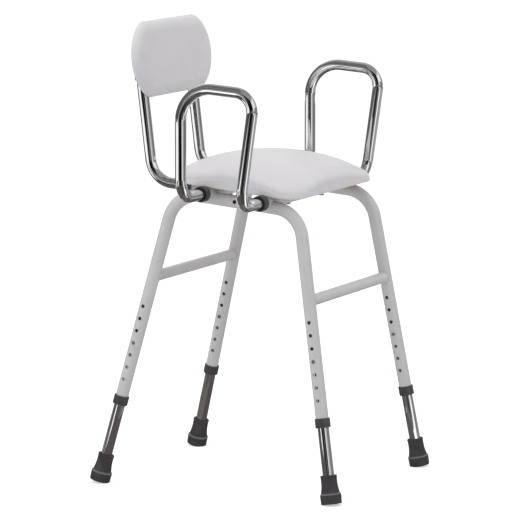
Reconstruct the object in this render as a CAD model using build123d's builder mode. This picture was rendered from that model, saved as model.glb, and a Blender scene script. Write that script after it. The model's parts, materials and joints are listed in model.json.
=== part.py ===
"""Perching shower stool: a steel frame on four sprung telescopic legs, with lift-out arms and backrest.

Millimetres, +Z up, front of the stool at -Y, the sitter's right at -X.
The origin is on the floor, in the middle of the stool's footprint.
"""
from build123d import *
from math import cos, radians, sin, sqrt, tan
import os

os.makedirs("parts", exist_ok=True)

# ---------------------------------------------------------------- tubes
frame_tube_od = 25.4          # white powder-coated frame tube, one inch
frame_tube_wall = 1.5
slip = 0.08                   # radial play between a plated tube and what it slides in
plated_wall = 1.5
crossbar_od = 22.2
crossbar_wall = 1.5
weld_gap = 0.1                # root gap left at a coped and welded joint

frame_tube_r = frame_tube_od / 2
frame_bore_r = frame_tube_r - frame_tube_wall
plated_r = frame_bore_r - slip          # legs, arms and back tubes
plated_bore_r = plated_r - plated_wall
crossbar_r = crossbar_od / 2

# ---------------------------------------------------------------- side frames
rail_height = 574.4           # centre of the top rail above the floor, at its middle
rail_half_width = 167.0       # centre of the rail from the middle of the stool
rail_span = 270.0             # between the two corners that the rail's centre line would have
splay = 4.75                  # degrees, side frame leaning outwards at the floor
rail_pitch = 5.1              # degrees, rail falling towards the front
front_leg_rake = 9.3          # degrees, in the plane of the side frame
rear_leg_rake = 14.25
bend_radius = 63.5            # centre line of the two big bends
vent_hole_d = 8.0             # drain hole of the powder coating, halfway along the rail

# ---------------------------------------------------------------- height adjustment
hole_count = 7
hole_pitch = 25.4
hole_d = 7.4
front_first_hole = 215.5      # from the rail's corner, along the leg
rear_first_hole = 236.5
rest_hole = 4                 # the hole that the buttons stand in
tube_past_hole = 49.5         # frame tube beyond its last hole
plated_above_button = 17.0

# ---------------------------------------------------------------- leg collars, feet
leg_collar_od = 30.0
leg_collar_sleeve = 15.0
leg_collar_lip = 3.4
collar_round = 0.9            # on the outer rims of every collar
mouth_land = 1.2              # straight bore before a collar's lead-in
foot_length = 56.0
foot_base_r = 21.0            # widest, at the step of the tread ring
foot_tread_r = 20.2           # at the tread
foot_ring_height = 19.5
foot_neck_r = 15.8
foot_sole = 14.0              # rubber under the steel washer
foot_step = 1.7               # step in above the tread ring
foot_flare_height = 44.0      # where the hollow flare has become the neck
foot_round = 1.5
foot_bite = 1.5               # how far the tread's low side is worn flat on the floor
tread_groove = 1.6            # width and depth of the two rings cut in the tread
tread_ring_r = (5.5, 10.0)
washer_thickness = 1.6

# ---------------------------------------------------------------- snap buttons
button_d = 6.8
button_stand = 1.8            # proud of the frame tube
button_round = 2.6            # edge of the button's domed end
button_flange_d = 9.0
button_flange = 0.8
clip_width = 8.0
clip_strip = 0.6
clip_length = 42.0            # from the buttons to the bow
clip_bow_r = 5.0

# ---------------------------------------------------------------- cross tubes and arms
socket_rise = 10.9            # cross tube's centre above the rail's centre
rear_socket_at = 60.0         # along the rail from its middle, rearwards
socket_spacing = 127.4
socket_end = 208.5            # half length of a cross tube
socket_collar_od = 31.0
socket_collar_sleeve = 13.5
socket_collar_lip = 3.5
mouth_flare = 2.8             # lead-in at a collar's mouth
front_crossbar_height = 391.0
rear_crossbar_height = 417.5

arm_half_span = 293.8
arm_insert = 105.0            # of the stub, inside the cross tube
arm_rise = 220.7              # from the rear socket to the rear top corner
arm_fall = 4.25               # degrees, top bar falling towards the front
arm_front_lean = 8.1          # degrees, front upright leaning forwards
arm_rear_bend = 64.0
arm_front_bend = 37.0
arm_foot_bend = 38.0

# ---------------------------------------------------------------- backrest
back_half_span = 108.0
back_socket_rise = 6.1        # back socket's centre above the rail's centre
back_socket_mouth = 139.0     # along the rail, end of the back socket's tube
back_insert = 50.0
back_run = 217.0              # along the rail, the corner of the back tube
back_lean = 6.85              # degrees from upright
back_bend = 50.0
back_tube_rise = 250.0        # from that corner to the tube's end
back_pad_rise = 240.4         # from that corner to the middle of the pad
back_pad_width = 332.0        # over its two half-round ends
back_pad_height = 150.8
back_pad_thickness = 18.0
back_pad_round = 14.0         # front edge of the pad
back_pad_back_round = 2.5
back_board_thickness = 9.0
back_board_inset = 7.0
back_screw_drop = 19.0        # middle of a tube's two screws below the middle of the pad
back_screw_spacing = 32.0
cap_thickness = 1.5
cap_plug = 8.0
cap_round = 0.8

# ---------------------------------------------------------------- seat
seat_half_width = 193.0
seat_front = 136.0            # from the rail's middle
seat_rear = 151.0
seat_front_corner = 42.0
seat_rear_corner = 72.0
seat_thickness = 57.0         # of the pad, at the top of its crown
seat_side_crown_r = 866.0     # crown of the pad from side to side
seat_front_crown_r = 376.0    # crown of the pad from front to rear
seat_crown_at = 4.0           # highest point, rearwards of the rail's middle
seat_shoulder = 14.0          # round between the top and the side of the pad
seat_rim_round = 2.5
board_thickness = 9.0
board_inset = 11.0
seat_screw_x = 78.0
screw_d = 6.0
screw_head_d = 12.0
screw_head = 2.6
screw_head_round = 1.4
screw_end_gap = 1.5           # board left over the end of a screw
tee_nut_d = 8.0
tee_nut_flange_d = 18.0
tee_nut_flange = 1.2
soft_gap = 0.3                # upholstery off the board that it wraps

# ---------------------------------------------------------------- worked-out places
sides = {"right": -1, "left": 1}
ends = {"front": -1, "rear": 1}
rake = {"front": front_leg_rake, "rear": rear_leg_rake}
first_hole = {"front": front_first_hole, "rear": rear_first_hole}
socket_at = {"front": rear_socket_at - socket_spacing, "rear": rear_socket_at}
crossbar_height = {"front": front_crossbar_height, "rear": rear_crossbar_height}
lean, pitch = radians(splay), radians(rail_pitch)
last_hole = (hole_count - 1) * hole_pitch
button_hole = (rest_hole - 1) * hole_pitch


def leg_direction(side, end):
    """Unit vector down a leg: raked in the side frame, which is itself splayed."""
    angle = radians(rake[end])
    return Vector(sides[side] * cos(angle) * sin(lean), ends[end] * sin(angle), -cos(angle) * cos(lean))


def corner_height(end):
    """Height above the rail's middle of the corner where the rail meets a leg."""
    return ends[end] * rail_span / 2 * tan(pitch)


def leg_length(end):
    """From the rail's corner to the middle of the foot's tread, so that the foot bites the floor."""
    down = leg_direction("left", end)
    tread_low = foot_tread_r * sqrt(1 - down.Z**2) - foot_bite
    return (rail_height + corner_height(end) - tread_low) / -down.Z


def foot_reach(end):
    """How far a foot reaches along Y from the rail's middle."""
    down = leg_direction("left", end)
    return rail_span / 2 + leg_length(end) * abs(down.Y) + foot_tread_r * sqrt(1 - down.Y**2)


middle_y = (foot_reach("front") - foot_reach("rear")) / 2
seat_plane = Plane(origin=(0, middle_y, rail_height), x_dir=(1, 0, 0), z_dir=(0, -sin(pitch), cos(pitch)))


def on_seat(x, along, above):
    """A point given along and above the line of the rails."""
    return seat_plane.from_local_coords(Vector(x, along, above))


def frame_plane(side):
    """The plane of a side frame: local x runs rearwards, local y up the frame."""
    turn = sides[side]
    return Plane(
        origin=(turn * rail_half_width, middle_y, rail_height),
        x_dir=(0, 1, 0),
        z_dir=(cos(lean), 0, turn * sin(lean)),
    )


def leg_point(side, end, distance):
    """A point on a leg's centre line, measured from the rail's corner."""
    turn = sides[side]
    corner_x = turn * (rail_half_width - corner_height(end) * tan(lean))
    corner = Vector(corner_x, middle_y + ends[end] * rail_span / 2, rail_height + corner_height(end))
    return corner + leg_direction(side, end) * distance


def turning_plane(origin, square, forward):
    """Plane for half sections: local x is the radius, local y runs forward along the axis."""
    return Plane(origin=origin, x_dir=square, z_dir=Vector(square).cross(Vector(forward)))


def leg_profile_plane(side, end):
    """Plane through a leg's centre line: local x is square to the side frame, local y down the leg."""
    return turning_plane(leg_point(side, end, 0), frame_plane(side).z_dir, leg_direction(side, end))


def leg_section_plane(side, end, distance):
    """Plane square to a leg, at a distance down it."""
    down = leg_direction(side, end)
    return Plane(origin=leg_point(side, end, distance), x_dir=frame_plane(side).z_dir, z_dir=down)


def leg_axis(side, end):
    return Axis(leg_point(side, end, 0), leg_direction(side, end))


def across(point):
    """Plane square to X, for tubes that run across the stool."""
    return Plane(origin=point, x_dir=(0, 1, 0), z_dir=(1, 0, 0))


def rail_section(x, along, above):
    """Plane square to the rails, for tubes that run rearwards along them."""
    return Plane(origin=on_seat(x, along, above), x_dir=(1, 0, 0), z_dir=seat_plane.y_dir)


def ring(outer, inner):
    """Section of a tube, in the sketch that is open."""
    Circle(outer)
    Circle(inner, mode=Mode.SUBTRACT)


def collar_points(mouth, outer_r, sleeve, lip):
    """Half section of a collar on a tube's end: a sleeve over the tube and a lip with a flared mouth."""
    return [
        (frame_tube_r, mouth - sleeve),
        (outer_r, mouth - sleeve),
        (outer_r, mouth + lip),
        (frame_bore_r + mouth_flare, mouth + lip),
        (frame_bore_r, mouth + mouth_land),
        (frame_bore_r, mouth),
        (frame_tube_r, mouth),
    ]


def widest_rims(part):
    """The circular edges of the largest radius."""
    return part.edges().filter_by(GeomType.CIRCLE).group_by(SortBy.RADIUS)[-1]


def rounded(width, low, high, low_corner, high_corner):
    """Outline with rounded corners, in the sketch that is open: low and high are its ends along local y."""
    with Locations((0, (low + high) / 2)):
        Rectangle(width, high - low)
    corners = vertices().sort_by(Axis.Y)
    fillet(corners[:2], radius=low_corner)
    fillet(vertices().sort_by(Axis.Y)[-2:], radius=high_corner)


def back_outline(grow):
    """Outline of the back pad, grown or shrunk, in the sketch that is open: straight long edges, half-round ends."""
    SlotOverall(back_pad_width + grow * 2, back_pad_height + grow * 2)


legs = [(side, end) for side in sides for end in ends]

# ---------------------------------------------------------------- side frames
for side, turn in sides.items():
    route = []
    for end in ("rear", "front"):
        angle = radians(rake[end])
        reach = first_hole[end] + last_hole + tube_past_hole
        corner = (ends[end] * rail_span / 2, corner_height(end) / cos(lean))
        foot = (corner[0] + ends[end] * reach * sin(angle), corner[1] - reach * cos(angle))
        route += [foot, corner] if end == "rear" else [corner, foot]
    holes = []
    for end in ends:
        angle = radians(rake[end])
        for step in range(hole_count):
            reach = first_hole[end] + step * hole_pitch
            across_frame = ends[end] * (rail_span / 2 + reach * sin(angle))
            holes.append((across_frame, corner_height(end) / cos(lean) - reach * cos(angle)))

    with BuildPart() as side_frame:
        with BuildLine(frame_plane(side)) as centre_line:
            FilletPolyline(*route, radius=bend_radius)
        with BuildSketch(Plane(origin=centre_line.line @ 0, z_dir=centre_line.line % 0)):
            ring(frame_tube_r, frame_bore_r)
        sweep(path=centre_line.line)
        with BuildSketch(frame_plane(side)):
            with Locations(*holes):
                Circle(hole_d / 2)
        extrude(amount=frame_tube_od, both=True, mode=Mode.SUBTRACT)
        with BuildSketch(frame_plane(side)):
            Circle(vent_hole_d / 2)
        extrude(amount=turn * frame_tube_od, mode=Mode.SUBTRACT)
        for end in ends:
            with BuildSketch(across(on_seat(0, socket_at[end], socket_rise))):
                Circle(frame_tube_r + weld_gap)
            extrude(amount=socket_end, both=True, mode=Mode.SUBTRACT)
    side_frame.part.label = f"side_frame_{side}"
    export_step(side_frame.part, f"parts/side_frame_{side}.step")

# ---------------------------------------------------------------- crossbars between the legs
for end, height in crossbar_height.items():
    level = (rail_height + corner_height(end) - height) / -leg_direction("left", end).Z
    centre = leg_point("left", end, level)
    with BuildPart() as crossbar:
        with BuildSketch(across((0, centre.Y, height))):
            ring(crossbar_r, crossbar_r - crossbar_wall)
        extrude(amount=centre.X - frame_tube_r / 3, both=True)
        for side in sides:
            with BuildSketch(leg_section_plane(side, end, level)):
                Circle(frame_tube_r + weld_gap)
            extrude(amount=frame_tube_od * 2, both=True, mode=Mode.SUBTRACT)
    crossbar.part.label = f"{end}_crossbar"
    export_step(crossbar.part, f"parts/{end}_crossbar.step")

# ---------------------------------------------------------------- cross tubes that take the arms
for end in ends:
    with BuildPart() as cross_tube:
        with BuildSketch(across(on_seat(0, socket_at[end], socket_rise))):
            ring(frame_tube_r, frame_bore_r)
        extrude(amount=socket_end, both=True)
        with BuildSketch(seat_plane):
            with Locations(*[(turn * seat_screw_x, socket_at[end]) for turn in sides.values()]):
                Circle(screw_d / 2 + slip)
        extrude(amount=socket_rise + frame_tube_od, both=True, mode=Mode.SUBTRACT)
    cross_tube.part.label = f"{end}_arm_socket"
    export_step(cross_tube.part, f"parts/{end}_arm_socket.step")

# ---------------------------------------------------------------- short sockets that take the back tubes
for side, turn in sides.items():
    with BuildPart() as back_socket:
        with BuildSketch(rail_section(turn * back_half_span, rear_socket_at, back_socket_rise)):
            ring(frame_tube_r, frame_bore_r)
        extrude(amount=back_socket_mouth - rear_socket_at)
        with BuildSketch(across(on_seat(0, rear_socket_at, socket_rise))):
            Circle(frame_tube_r + weld_gap)
        extrude(amount=socket_end, both=True, mode=Mode.SUBTRACT)
    back_socket.part.label = f"back_socket_{side}"
    export_step(back_socket.part, f"parts/back_socket_{side}.step")

# ---------------------------------------------------------------- collars on the tube mouths
for side, end in legs:
    mouth = first_hole[end] + last_hole + tube_past_hole
    with BuildPart() as leg_collar:
        with BuildSketch(leg_profile_plane(side, end)):
            with BuildLine():
                Polyline(*collar_points(mouth, leg_collar_od / 2, leg_collar_sleeve, leg_collar_lip), close=True)
            make_face()
        revolve(axis=leg_axis(side, end))
        fillet(widest_rims(leg_collar), radius=collar_round)
    leg_collar.part.label = f"leg_collar_{end}_{side}"
    export_step(leg_collar.part, f"parts/leg_collar_{end}_{side}.step")

for side, end in legs:
    centre = on_seat(0, socket_at[end], socket_rise)
    outward = (sides[side], 0, 0)
    with BuildPart() as arm_collar:
        with BuildSketch(turning_plane(centre, (0, 0, 1), outward)):
            with BuildLine():
                Polyline(*collar_points(socket_end, socket_collar_od / 2, socket_collar_sleeve, socket_collar_lip),
                         close=True)
            make_face()
        revolve(axis=Axis(centre, outward))
        fillet(widest_rims(arm_collar), radius=collar_round)
    arm_collar.part.label = f"arm_collar_{end}_{side}"
    export_step(arm_collar.part, f"parts/arm_collar_{end}_{side}.step")

for side, turn in sides.items():
    centre = on_seat(turn * back_half_span, 0, back_socket_rise)
    with BuildPart() as back_collar:
        with BuildSketch(turning_plane(centre, (1, 0, 0), seat_plane.y_dir)):
            with BuildLine():
                Polyline(*collar_points(back_socket_mouth, socket_collar_od / 2, socket_collar_sleeve,
                                        socket_collar_lip), close=True)
            make_face()
        revolve(axis=Axis(centre, seat_plane.y_dir))
        fillet(widest_rims(back_collar), radius=collar_round)
    back_collar.part.label = f"back_collar_{side}"
    export_step(back_collar.part, f"parts/back_collar_{side}.step")

# ---------------------------------------------------------------- legs that slide in the side frames
tube_bottom = foot_sole + washer_thickness
for side, end in legs:
    button_at = first_hole[end] + button_hole
    tread = leg_length(end)
    square = leg_profile_plane(side, end)

    with BuildPart() as leg_tube:
        with BuildSketch(leg_section_plane(side, end, button_at - plated_above_button)):
            ring(plated_r, plated_bore_r)
        extrude(amount=tread - tube_bottom - button_at + plated_above_button)
        with BuildSketch(Plane(origin=leg_point(side, end, button_at), z_dir=square.x_dir)):
            Circle(button_d / 2 + slip)
        extrude(amount=frame_tube_od, both=True, mode=Mode.SUBTRACT)
    leg_tube.part.label = f"leg_tube_{end}_{side}"
    export_step(leg_tube.part, f"parts/leg_tube_{end}_{side}.step")

    with BuildPart() as foot:
        with BuildSketch(square):
            with BuildLine():
                tread_line = Line((0, tread), (foot_tread_r, tread))
                ring_line = Line(tread_line @ 1, (foot_base_r, tread - foot_ring_height))
                step_line = Line(ring_line @ 1, (foot_base_r - foot_step, tread - foot_ring_height))
                flare = ThreePointArc(
                    step_line @ 1,
                    ((foot_base_r - foot_step + foot_neck_r * 3) / 4, tread - (foot_ring_height + foot_flare_height) / 2),
                    (foot_neck_r, tread - foot_flare_height),
                )
                Polyline(
                    flare @ 1,
                    (foot_neck_r, tread - foot_length),
                    (plated_r, tread - foot_length),
                    (plated_r, tread - foot_sole),
                    (0, tread - foot_sole),
                    (0, tread),
                )
            make_face()
            with Locations(*[(radius + tread_groove / 2, tread) for radius in tread_ring_r]):
                Rectangle(tread_groove, tread_groove * 2, mode=Mode.SUBTRACT)
        revolve(axis=leg_axis(side, end))
        rims = foot.edges().filter_by(GeomType.CIRCLE)
        soft_rims = [rim for rim in rims if abs(rim.radius - foot_tread_r) < slip or abs(rim.radius - foot_base_r) < slip]
        fillet(soft_rims, radius=foot_round)
        below_floor = leg_point(side, end, tread)
        with Locations((below_floor.X, below_floor.Y, -foot_length)):
            Box(foot_length * 2, foot_length * 2, foot_length * 2, mode=Mode.SUBTRACT)
    foot.part.label = f"foot_{end}_{side}"
    export_step(foot.part, f"parts/foot_{end}_{side}.step")

    with BuildPart() as washer:
        with BuildSketch(leg_section_plane(side, end, tread - tube_bottom)):
            Circle(plated_r)
        extrude(amount=washer_thickness)
    washer.part.label = f"foot_washer_{end}_{side}"
    export_step(washer.part, f"parts/foot_washer_{end}_{side}.step")

# ---------------------------------------------------------------- snap buttons and their springs
flange_top = sqrt(plated_bore_r**2 - (button_flange_d / 2) ** 2) - slip
clip_arm = flange_top - button_flange - clip_strip / 2
for side, end in legs:
    button_at = first_hole[end] + button_hole

    with BuildPart() as clip:
        with BuildSketch(leg_profile_plane(side, end)):
            with BuildLine():
                outer_end = Line((clip_arm, button_at - clip_width / 2), (clip_arm, button_at + clip_width / 2))
                outer_arm = Line(outer_end @ 1, (clip_bow_r, button_at + clip_length))
                bow = ThreePointArc(
                    outer_arm @ 1,
                    (0, button_at + clip_length + clip_bow_r),
                    (-clip_bow_r, button_at + clip_length),
                )
                inner_arm = Line(bow @ 1, (-clip_arm, button_at + clip_width / 2))
                Line(inner_arm @ 1, (-clip_arm, button_at - clip_width / 2))
            trace(line_width=clip_strip)
        extrude(amount=clip_width / 2, both=True)
    clip.part.label = f"button_spring_{end}_{side}"
    export_step(clip.part, f"parts/button_spring_{end}_{side}.step")

    outward = leg_profile_plane(side, end).x_dir * sides[side]
    for place, direction in (("outer", outward), ("inner", outward * -1)):
        stem = frame_tube_r + button_stand - flange_top
        with BuildPart() as button:
            with BuildSketch(Plane(origin=leg_point(side, end, button_at) + direction * flange_top, z_dir=direction)):
                Circle(button_d / 2)
            extrude(amount=stem)
            fillet(button.faces().sort_by(Axis((0, 0, 0), direction))[-1].edges(), radius=button_round)
            with BuildSketch(Plane(origin=leg_point(side, end, button_at) + direction * flange_top, z_dir=direction)):
                Circle(button_flange_d / 2)
            extrude(amount=-button_flange)
        button.part.label = f"button_{place}_{end}_{side}"
        export_step(button.part, f"parts/button_{place}_{end}_{side}.step")

# ---------------------------------------------------------------- lift-out arms
rear_foot = on_seat(0, socket_at["rear"], socket_rise)
front_foot = on_seat(0, socket_at["front"], socket_rise)
fall, front_lean = tan(radians(arm_fall)), tan(radians(arm_front_lean))
rear_top = rear_foot.Z + arm_rise
front_rise = (rear_top - front_foot.Z - (rear_foot.Y - front_foot.Y) * fall) / (1 + fall * front_lean)
for side, turn in sides.items():
    stub = turn * (socket_end + socket_collar_lip - arm_insert)
    span = turn * arm_half_span
    with BuildPart() as arm:
        with BuildLine() as centre_line:
            FilletPolyline(
                (stub, rear_foot.Y, rear_foot.Z),
                (span, rear_foot.Y, rear_foot.Z),
                (span, rear_foot.Y, rear_top),
                (span, front_foot.Y - front_rise * front_lean, front_foot.Z + front_rise),
                (span, front_foot.Y, front_foot.Z),
                (stub, front_foot.Y, front_foot.Z),
                radius=[arm_foot_bend, arm_rear_bend, arm_front_bend, arm_foot_bend],
            )
        with BuildSketch(Plane(origin=centre_line.line @ 0, z_dir=centre_line.line % 0)):
            ring(plated_r, plated_bore_r)
        sweep(path=centre_line.line)
    arm.part.label = f"arm_{side}"
    export_step(arm.part, f"parts/arm_{side}.step")

# ---------------------------------------------------------------- backrest frame and pad
upright = Vector(0, sin(radians(back_lean)), cos(radians(back_lean)))
back_corner = on_seat(0, back_run, back_socket_rise)
pad_middle = back_corner + upright * back_pad_rise
back_plane = Plane(origin=pad_middle, x_dir=(1, 0, 0), z_dir=Vector(1, 0, 0).cross(upright))
screw_places = [
    (turn * back_half_span, height) for turn in sides.values()
    for height in (-back_screw_drop - back_screw_spacing / 2, -back_screw_drop + back_screw_spacing / 2)
]

for side, turn in sides.items():
    start = on_seat(turn * back_half_span, back_socket_mouth + socket_collar_lip - back_insert, back_socket_rise)
    corner = on_seat(turn * back_half_span, back_run, back_socket_rise)
    with BuildPart() as back_tube:
        with BuildLine() as centre_line:
            FilletPolyline(start, corner, corner + upright * back_tube_rise, radius=back_bend)
        with BuildSketch(Plane(origin=centre_line.line @ 0, z_dir=centre_line.line % 0)):
            ring(plated_r, plated_bore_r)
        sweep(path=centre_line.line)
        with BuildSketch(back_plane):
            with Locations(*screw_places):
                Circle(screw_d / 2 + slip)
        extrude(amount=frame_tube_od, both=True, mode=Mode.SUBTRACT)
    back_tube.part.label = f"back_tube_{side}"
    export_step(back_tube.part, f"parts/back_tube_{side}.step")

with BuildPart() as back_caps:
    tube_tops = [on_seat(turn * back_half_span, back_run, back_socket_rise) for turn in sides.values()]
    cap_planes = [Plane(origin=top + upright * back_tube_rise, x_dir=(1, 0, 0), z_dir=upright) for top in tube_tops]
    with BuildSketch(*cap_planes):
        Circle(plated_r)
    extrude(amount=cap_thickness)
    fillet(back_caps.faces().group_by(Axis(pad_middle, upright))[-1].edges(), radius=cap_round)
    with BuildSketch(*cap_planes):
        Circle(plated_bore_r)
    extrude(amount=-cap_plug)
back_caps.part.label = "back_tube_caps"
export_step(back_caps.part, "parts/back_tube_caps.step")

with BuildPart() as back_board:
    with BuildSketch(back_plane.offset(plated_r)):
        back_outline(-back_board_inset)
    extrude(amount=back_board_thickness)
    with BuildSketch(back_plane.offset(plated_r)):
        with Locations(*screw_places):
            Circle(screw_d / 2)
    extrude(amount=back_board_thickness - screw_end_gap, mode=Mode.SUBTRACT)
back_board.part.label = "back_board"
export_step(back_board.part, "parts/back_board.step")

with BuildPart() as back_cushion:
    with BuildSketch(back_plane.offset(plated_r + soft_gap)):
        back_outline(0)
    extrude(amount=back_pad_thickness)
    front_face = back_cushion.faces().sort_by(Axis(pad_middle, back_plane.z_dir))[-1]
    fillet(front_face.edges(), radius=back_pad_round)
    back_face = back_cushion.faces().sort_by(Axis(pad_middle, back_plane.z_dir))[0]
    fillet(back_face.edges(), radius=back_pad_back_round)
    with BuildSketch(back_plane.offset(plated_r)):
        back_outline(soft_gap - back_board_inset)
    extrude(amount=back_board_thickness + soft_gap, mode=Mode.SUBTRACT)
back_cushion.part.label = "back_cushion"
export_step(back_cushion.part, "parts/back_cushion.step")

with BuildPart() as back_screws:
    for place in screw_places:
        with BuildSketch(back_plane.offset(-plated_r)):
            with Locations(place):
                Circle(screw_head_d / 2)
        extrude(amount=-screw_head)
    fillet(back_screws.faces().group_by(Axis(pad_middle, back_plane.z_dir))[0].edges(), radius=screw_head_round)
    with BuildSketch(back_plane.offset(-plated_r)):
        with Locations(*screw_places):
            Circle(screw_d / 2)
    extrude(amount=plated_r * 2 + back_board_thickness - screw_end_gap)
back_screws.part.label = "back_screws"
export_step(back_screws.part, "parts/back_screws.step")

# ---------------------------------------------------------------- seat
board_bottom = socket_rise + frame_tube_r
seat_places = [(turn * seat_screw_x, place) for turn in sides.values() for place in socket_at.values()]
board_front, board_rear = seat_front - board_inset, seat_rear - board_inset
front_corner, rear_corner = seat_front_corner - board_inset, seat_rear_corner - board_inset
counterbore = tee_nut_flange + soft_gap

with BuildPart() as seat_board:
    with BuildSketch(seat_plane.offset(board_bottom)):
        rounded((seat_half_width - board_inset) * 2, -board_front, board_rear, front_corner, rear_corner)
    extrude(amount=board_thickness)
    with BuildSketch(seat_plane.offset(board_bottom)):
        with Locations(*seat_places):
            Circle(tee_nut_d / 2)
    extrude(amount=board_thickness, mode=Mode.SUBTRACT)
    with BuildSketch(seat_plane.offset(board_bottom + board_thickness)):
        with Locations(*seat_places):
            Circle(tee_nut_flange_d / 2 + slip)
    extrude(amount=-counterbore, mode=Mode.SUBTRACT)
seat_board.part.label = "seat_board"
export_step(seat_board.part, "parts/seat_board.step")

pad_bottom = board_bottom + soft_gap
crown_top = pad_bottom + seat_thickness
crown_axis = crown_top - seat_side_crown_r
crown_ends = seat_crown_at - seat_rear, seat_crown_at + seat_rear
crown_edge = crown_top - seat_front_crown_r + sqrt(seat_front_crown_r**2 - seat_rear**2)
with BuildPart() as seat_cushion:
    with BuildSketch(seat_plane.offset(pad_bottom)):
        rounded(seat_half_width * 2, -seat_front, seat_rear, seat_front_corner, seat_rear_corner)
    extrude(amount=seat_thickness)
    with BuildSketch(turning_plane(on_seat(0, 0, crown_axis), seat_plane.z_dir, seat_plane.y_dir)):
        with BuildLine():
            crown = ThreePointArc(
                (crown_edge - crown_axis, crown_ends[0]),
                (seat_side_crown_r, seat_crown_at),
                (crown_edge - crown_axis, crown_ends[1]),
            )
            Polyline(crown @ 1, (0, crown_ends[1]), (0, crown_ends[0]), crown @ 0)
        make_face()
    revolve(axis=Axis(on_seat(0, 0, crown_axis), seat_plane.y_dir), mode=Mode.INTERSECT)
    crown_face = seat_cushion.faces().filter_by(GeomType.TORUS)[0]
    fillet(crown_face.edges(), radius=seat_shoulder)
    rim_face = seat_cushion.faces().sort_by(Axis(seat_plane.origin, seat_plane.z_dir))[0]
    fillet(rim_face.edges(), radius=seat_rim_round)
    with BuildSketch(seat_plane.offset(board_bottom)):
        rounded((seat_half_width - board_inset + soft_gap) * 2, -board_front - soft_gap, board_rear + soft_gap,
                front_corner + soft_gap, rear_corner + soft_gap)
    extrude(amount=board_thickness + soft_gap, mode=Mode.SUBTRACT)
seat_cushion.part.label = "seat_cushion"
export_step(seat_cushion.part, "parts/seat_cushion.step")

with BuildPart() as seat_tee_nuts:
    with BuildSketch(seat_plane.offset(board_bottom + board_thickness - counterbore)):
        with Locations(*seat_places):
            Circle(tee_nut_flange_d / 2)
    extrude(amount=tee_nut_flange)
    with BuildSketch(seat_plane.offset(board_bottom)):
        with Locations(*seat_places):
            Circle(tee_nut_d / 2)
    extrude(amount=board_thickness - counterbore)
    with BuildSketch(seat_plane.offset(board_bottom)):
        with Locations(*seat_places):
            Circle(screw_d / 2)
    extrude(amount=board_thickness, mode=Mode.SUBTRACT)
seat_tee_nuts.part.label = "seat_tee_nuts"
export_step(seat_tee_nuts.part, "parts/seat_tee_nuts.step")

screw_seat = socket_rise - frame_tube_r
with BuildPart() as seat_screws:
    with BuildSketch(seat_plane.offset(screw_seat)):
        with Locations(*seat_places):
            Circle(screw_head_d / 2)
    extrude(amount=-screw_head)
    fillet(seat_screws.faces().group_by(Axis(seat_plane.origin, seat_plane.z_dir))[0].edges(),
           radius=screw_head_round)
    with BuildSketch(seat_plane.offset(screw_seat)):
        with Locations(*seat_places):
            Circle(screw_d / 2)
    extrude(amount=board_bottom + board_thickness - screw_end_gap - screw_seat)
seat_screws.part.label = "seat_screws"
export_step(seat_screws.part, "parts/seat_screws.step")
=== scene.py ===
# %% [markdown]
# # A perching shower stool
# The stool is a bent steel tube frame in white powder coat, with four plated legs that telescope out of it on
# snap buttons, two lift-out arms, a small backrest and a sloping, padded seat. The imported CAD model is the
# fixed frame of this lesson. It gives every size and place, and each cell below dresses one kind of piece:
# first the studio, then the finishes, then the tubes, the turned parts, the fasteners and welds, and last the
# two upholstered pads.

# %% Load the frame
import json
from math import atan, cos, pi, radians, sin, sqrt, tan

import bmesh
import bpy
from mathutils import Matrix, Vector


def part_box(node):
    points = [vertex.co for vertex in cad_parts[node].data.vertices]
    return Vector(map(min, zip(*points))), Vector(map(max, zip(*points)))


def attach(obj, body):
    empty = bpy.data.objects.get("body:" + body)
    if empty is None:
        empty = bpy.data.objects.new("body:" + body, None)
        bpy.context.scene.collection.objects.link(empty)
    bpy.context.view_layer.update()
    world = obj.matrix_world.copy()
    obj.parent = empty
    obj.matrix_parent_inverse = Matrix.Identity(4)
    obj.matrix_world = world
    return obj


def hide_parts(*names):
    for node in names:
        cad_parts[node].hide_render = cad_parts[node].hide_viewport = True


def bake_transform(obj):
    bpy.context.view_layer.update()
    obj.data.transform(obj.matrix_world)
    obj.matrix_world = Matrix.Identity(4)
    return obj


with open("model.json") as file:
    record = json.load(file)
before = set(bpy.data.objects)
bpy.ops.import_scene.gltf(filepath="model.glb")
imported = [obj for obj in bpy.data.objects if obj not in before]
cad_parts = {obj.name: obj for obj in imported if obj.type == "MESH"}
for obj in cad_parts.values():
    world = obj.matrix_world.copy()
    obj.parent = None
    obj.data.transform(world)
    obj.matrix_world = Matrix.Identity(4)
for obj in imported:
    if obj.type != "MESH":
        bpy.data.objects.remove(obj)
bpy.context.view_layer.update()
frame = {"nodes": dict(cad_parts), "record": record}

nodes, mm = frame["nodes"], 0.001

# %% [markdown]
# ## Where things are
# A bent tube is easiest to make again from its centre line, so this cell restates the few angles and runs
# that the centre lines need. Everything hangs from one point, the middle between the two top rails, and that
# point is read off the rear cross tube's box, so the scene stays registered to the CAD model.

# %% Centre lines and directions
sides = {"right": -1, "left": 1}
ends = {"front": -1, "rear": 1}
legs = [(side, end) for side in sides for end in ends]

rail_pitch, splay = radians(5.1), radians(4.75)
rake = {"front": radians(9.3), "rear": radians(14.25)}
rail_half_width, rail_span, bend_radius = 167.0 * mm, 270.0 * mm, 63.5 * mm
frame_tube_r, frame_wall = 12.7 * mm, 1.5 * mm
first_hole = {"front": 215.5 * mm, "rear": 236.5 * mm}
hole_pitch, hole_count, hole_r, rest_hole = 25.4 * mm, 7, 3.7 * mm, 4
tube_past_hole = 49.5 * mm
socket_rise, rear_socket_at, socket_spacing = 10.9 * mm, 60.0 * mm, 127.4 * mm
socket_at = {"front": rear_socket_at - socket_spacing, "rear": rear_socket_at}

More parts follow.
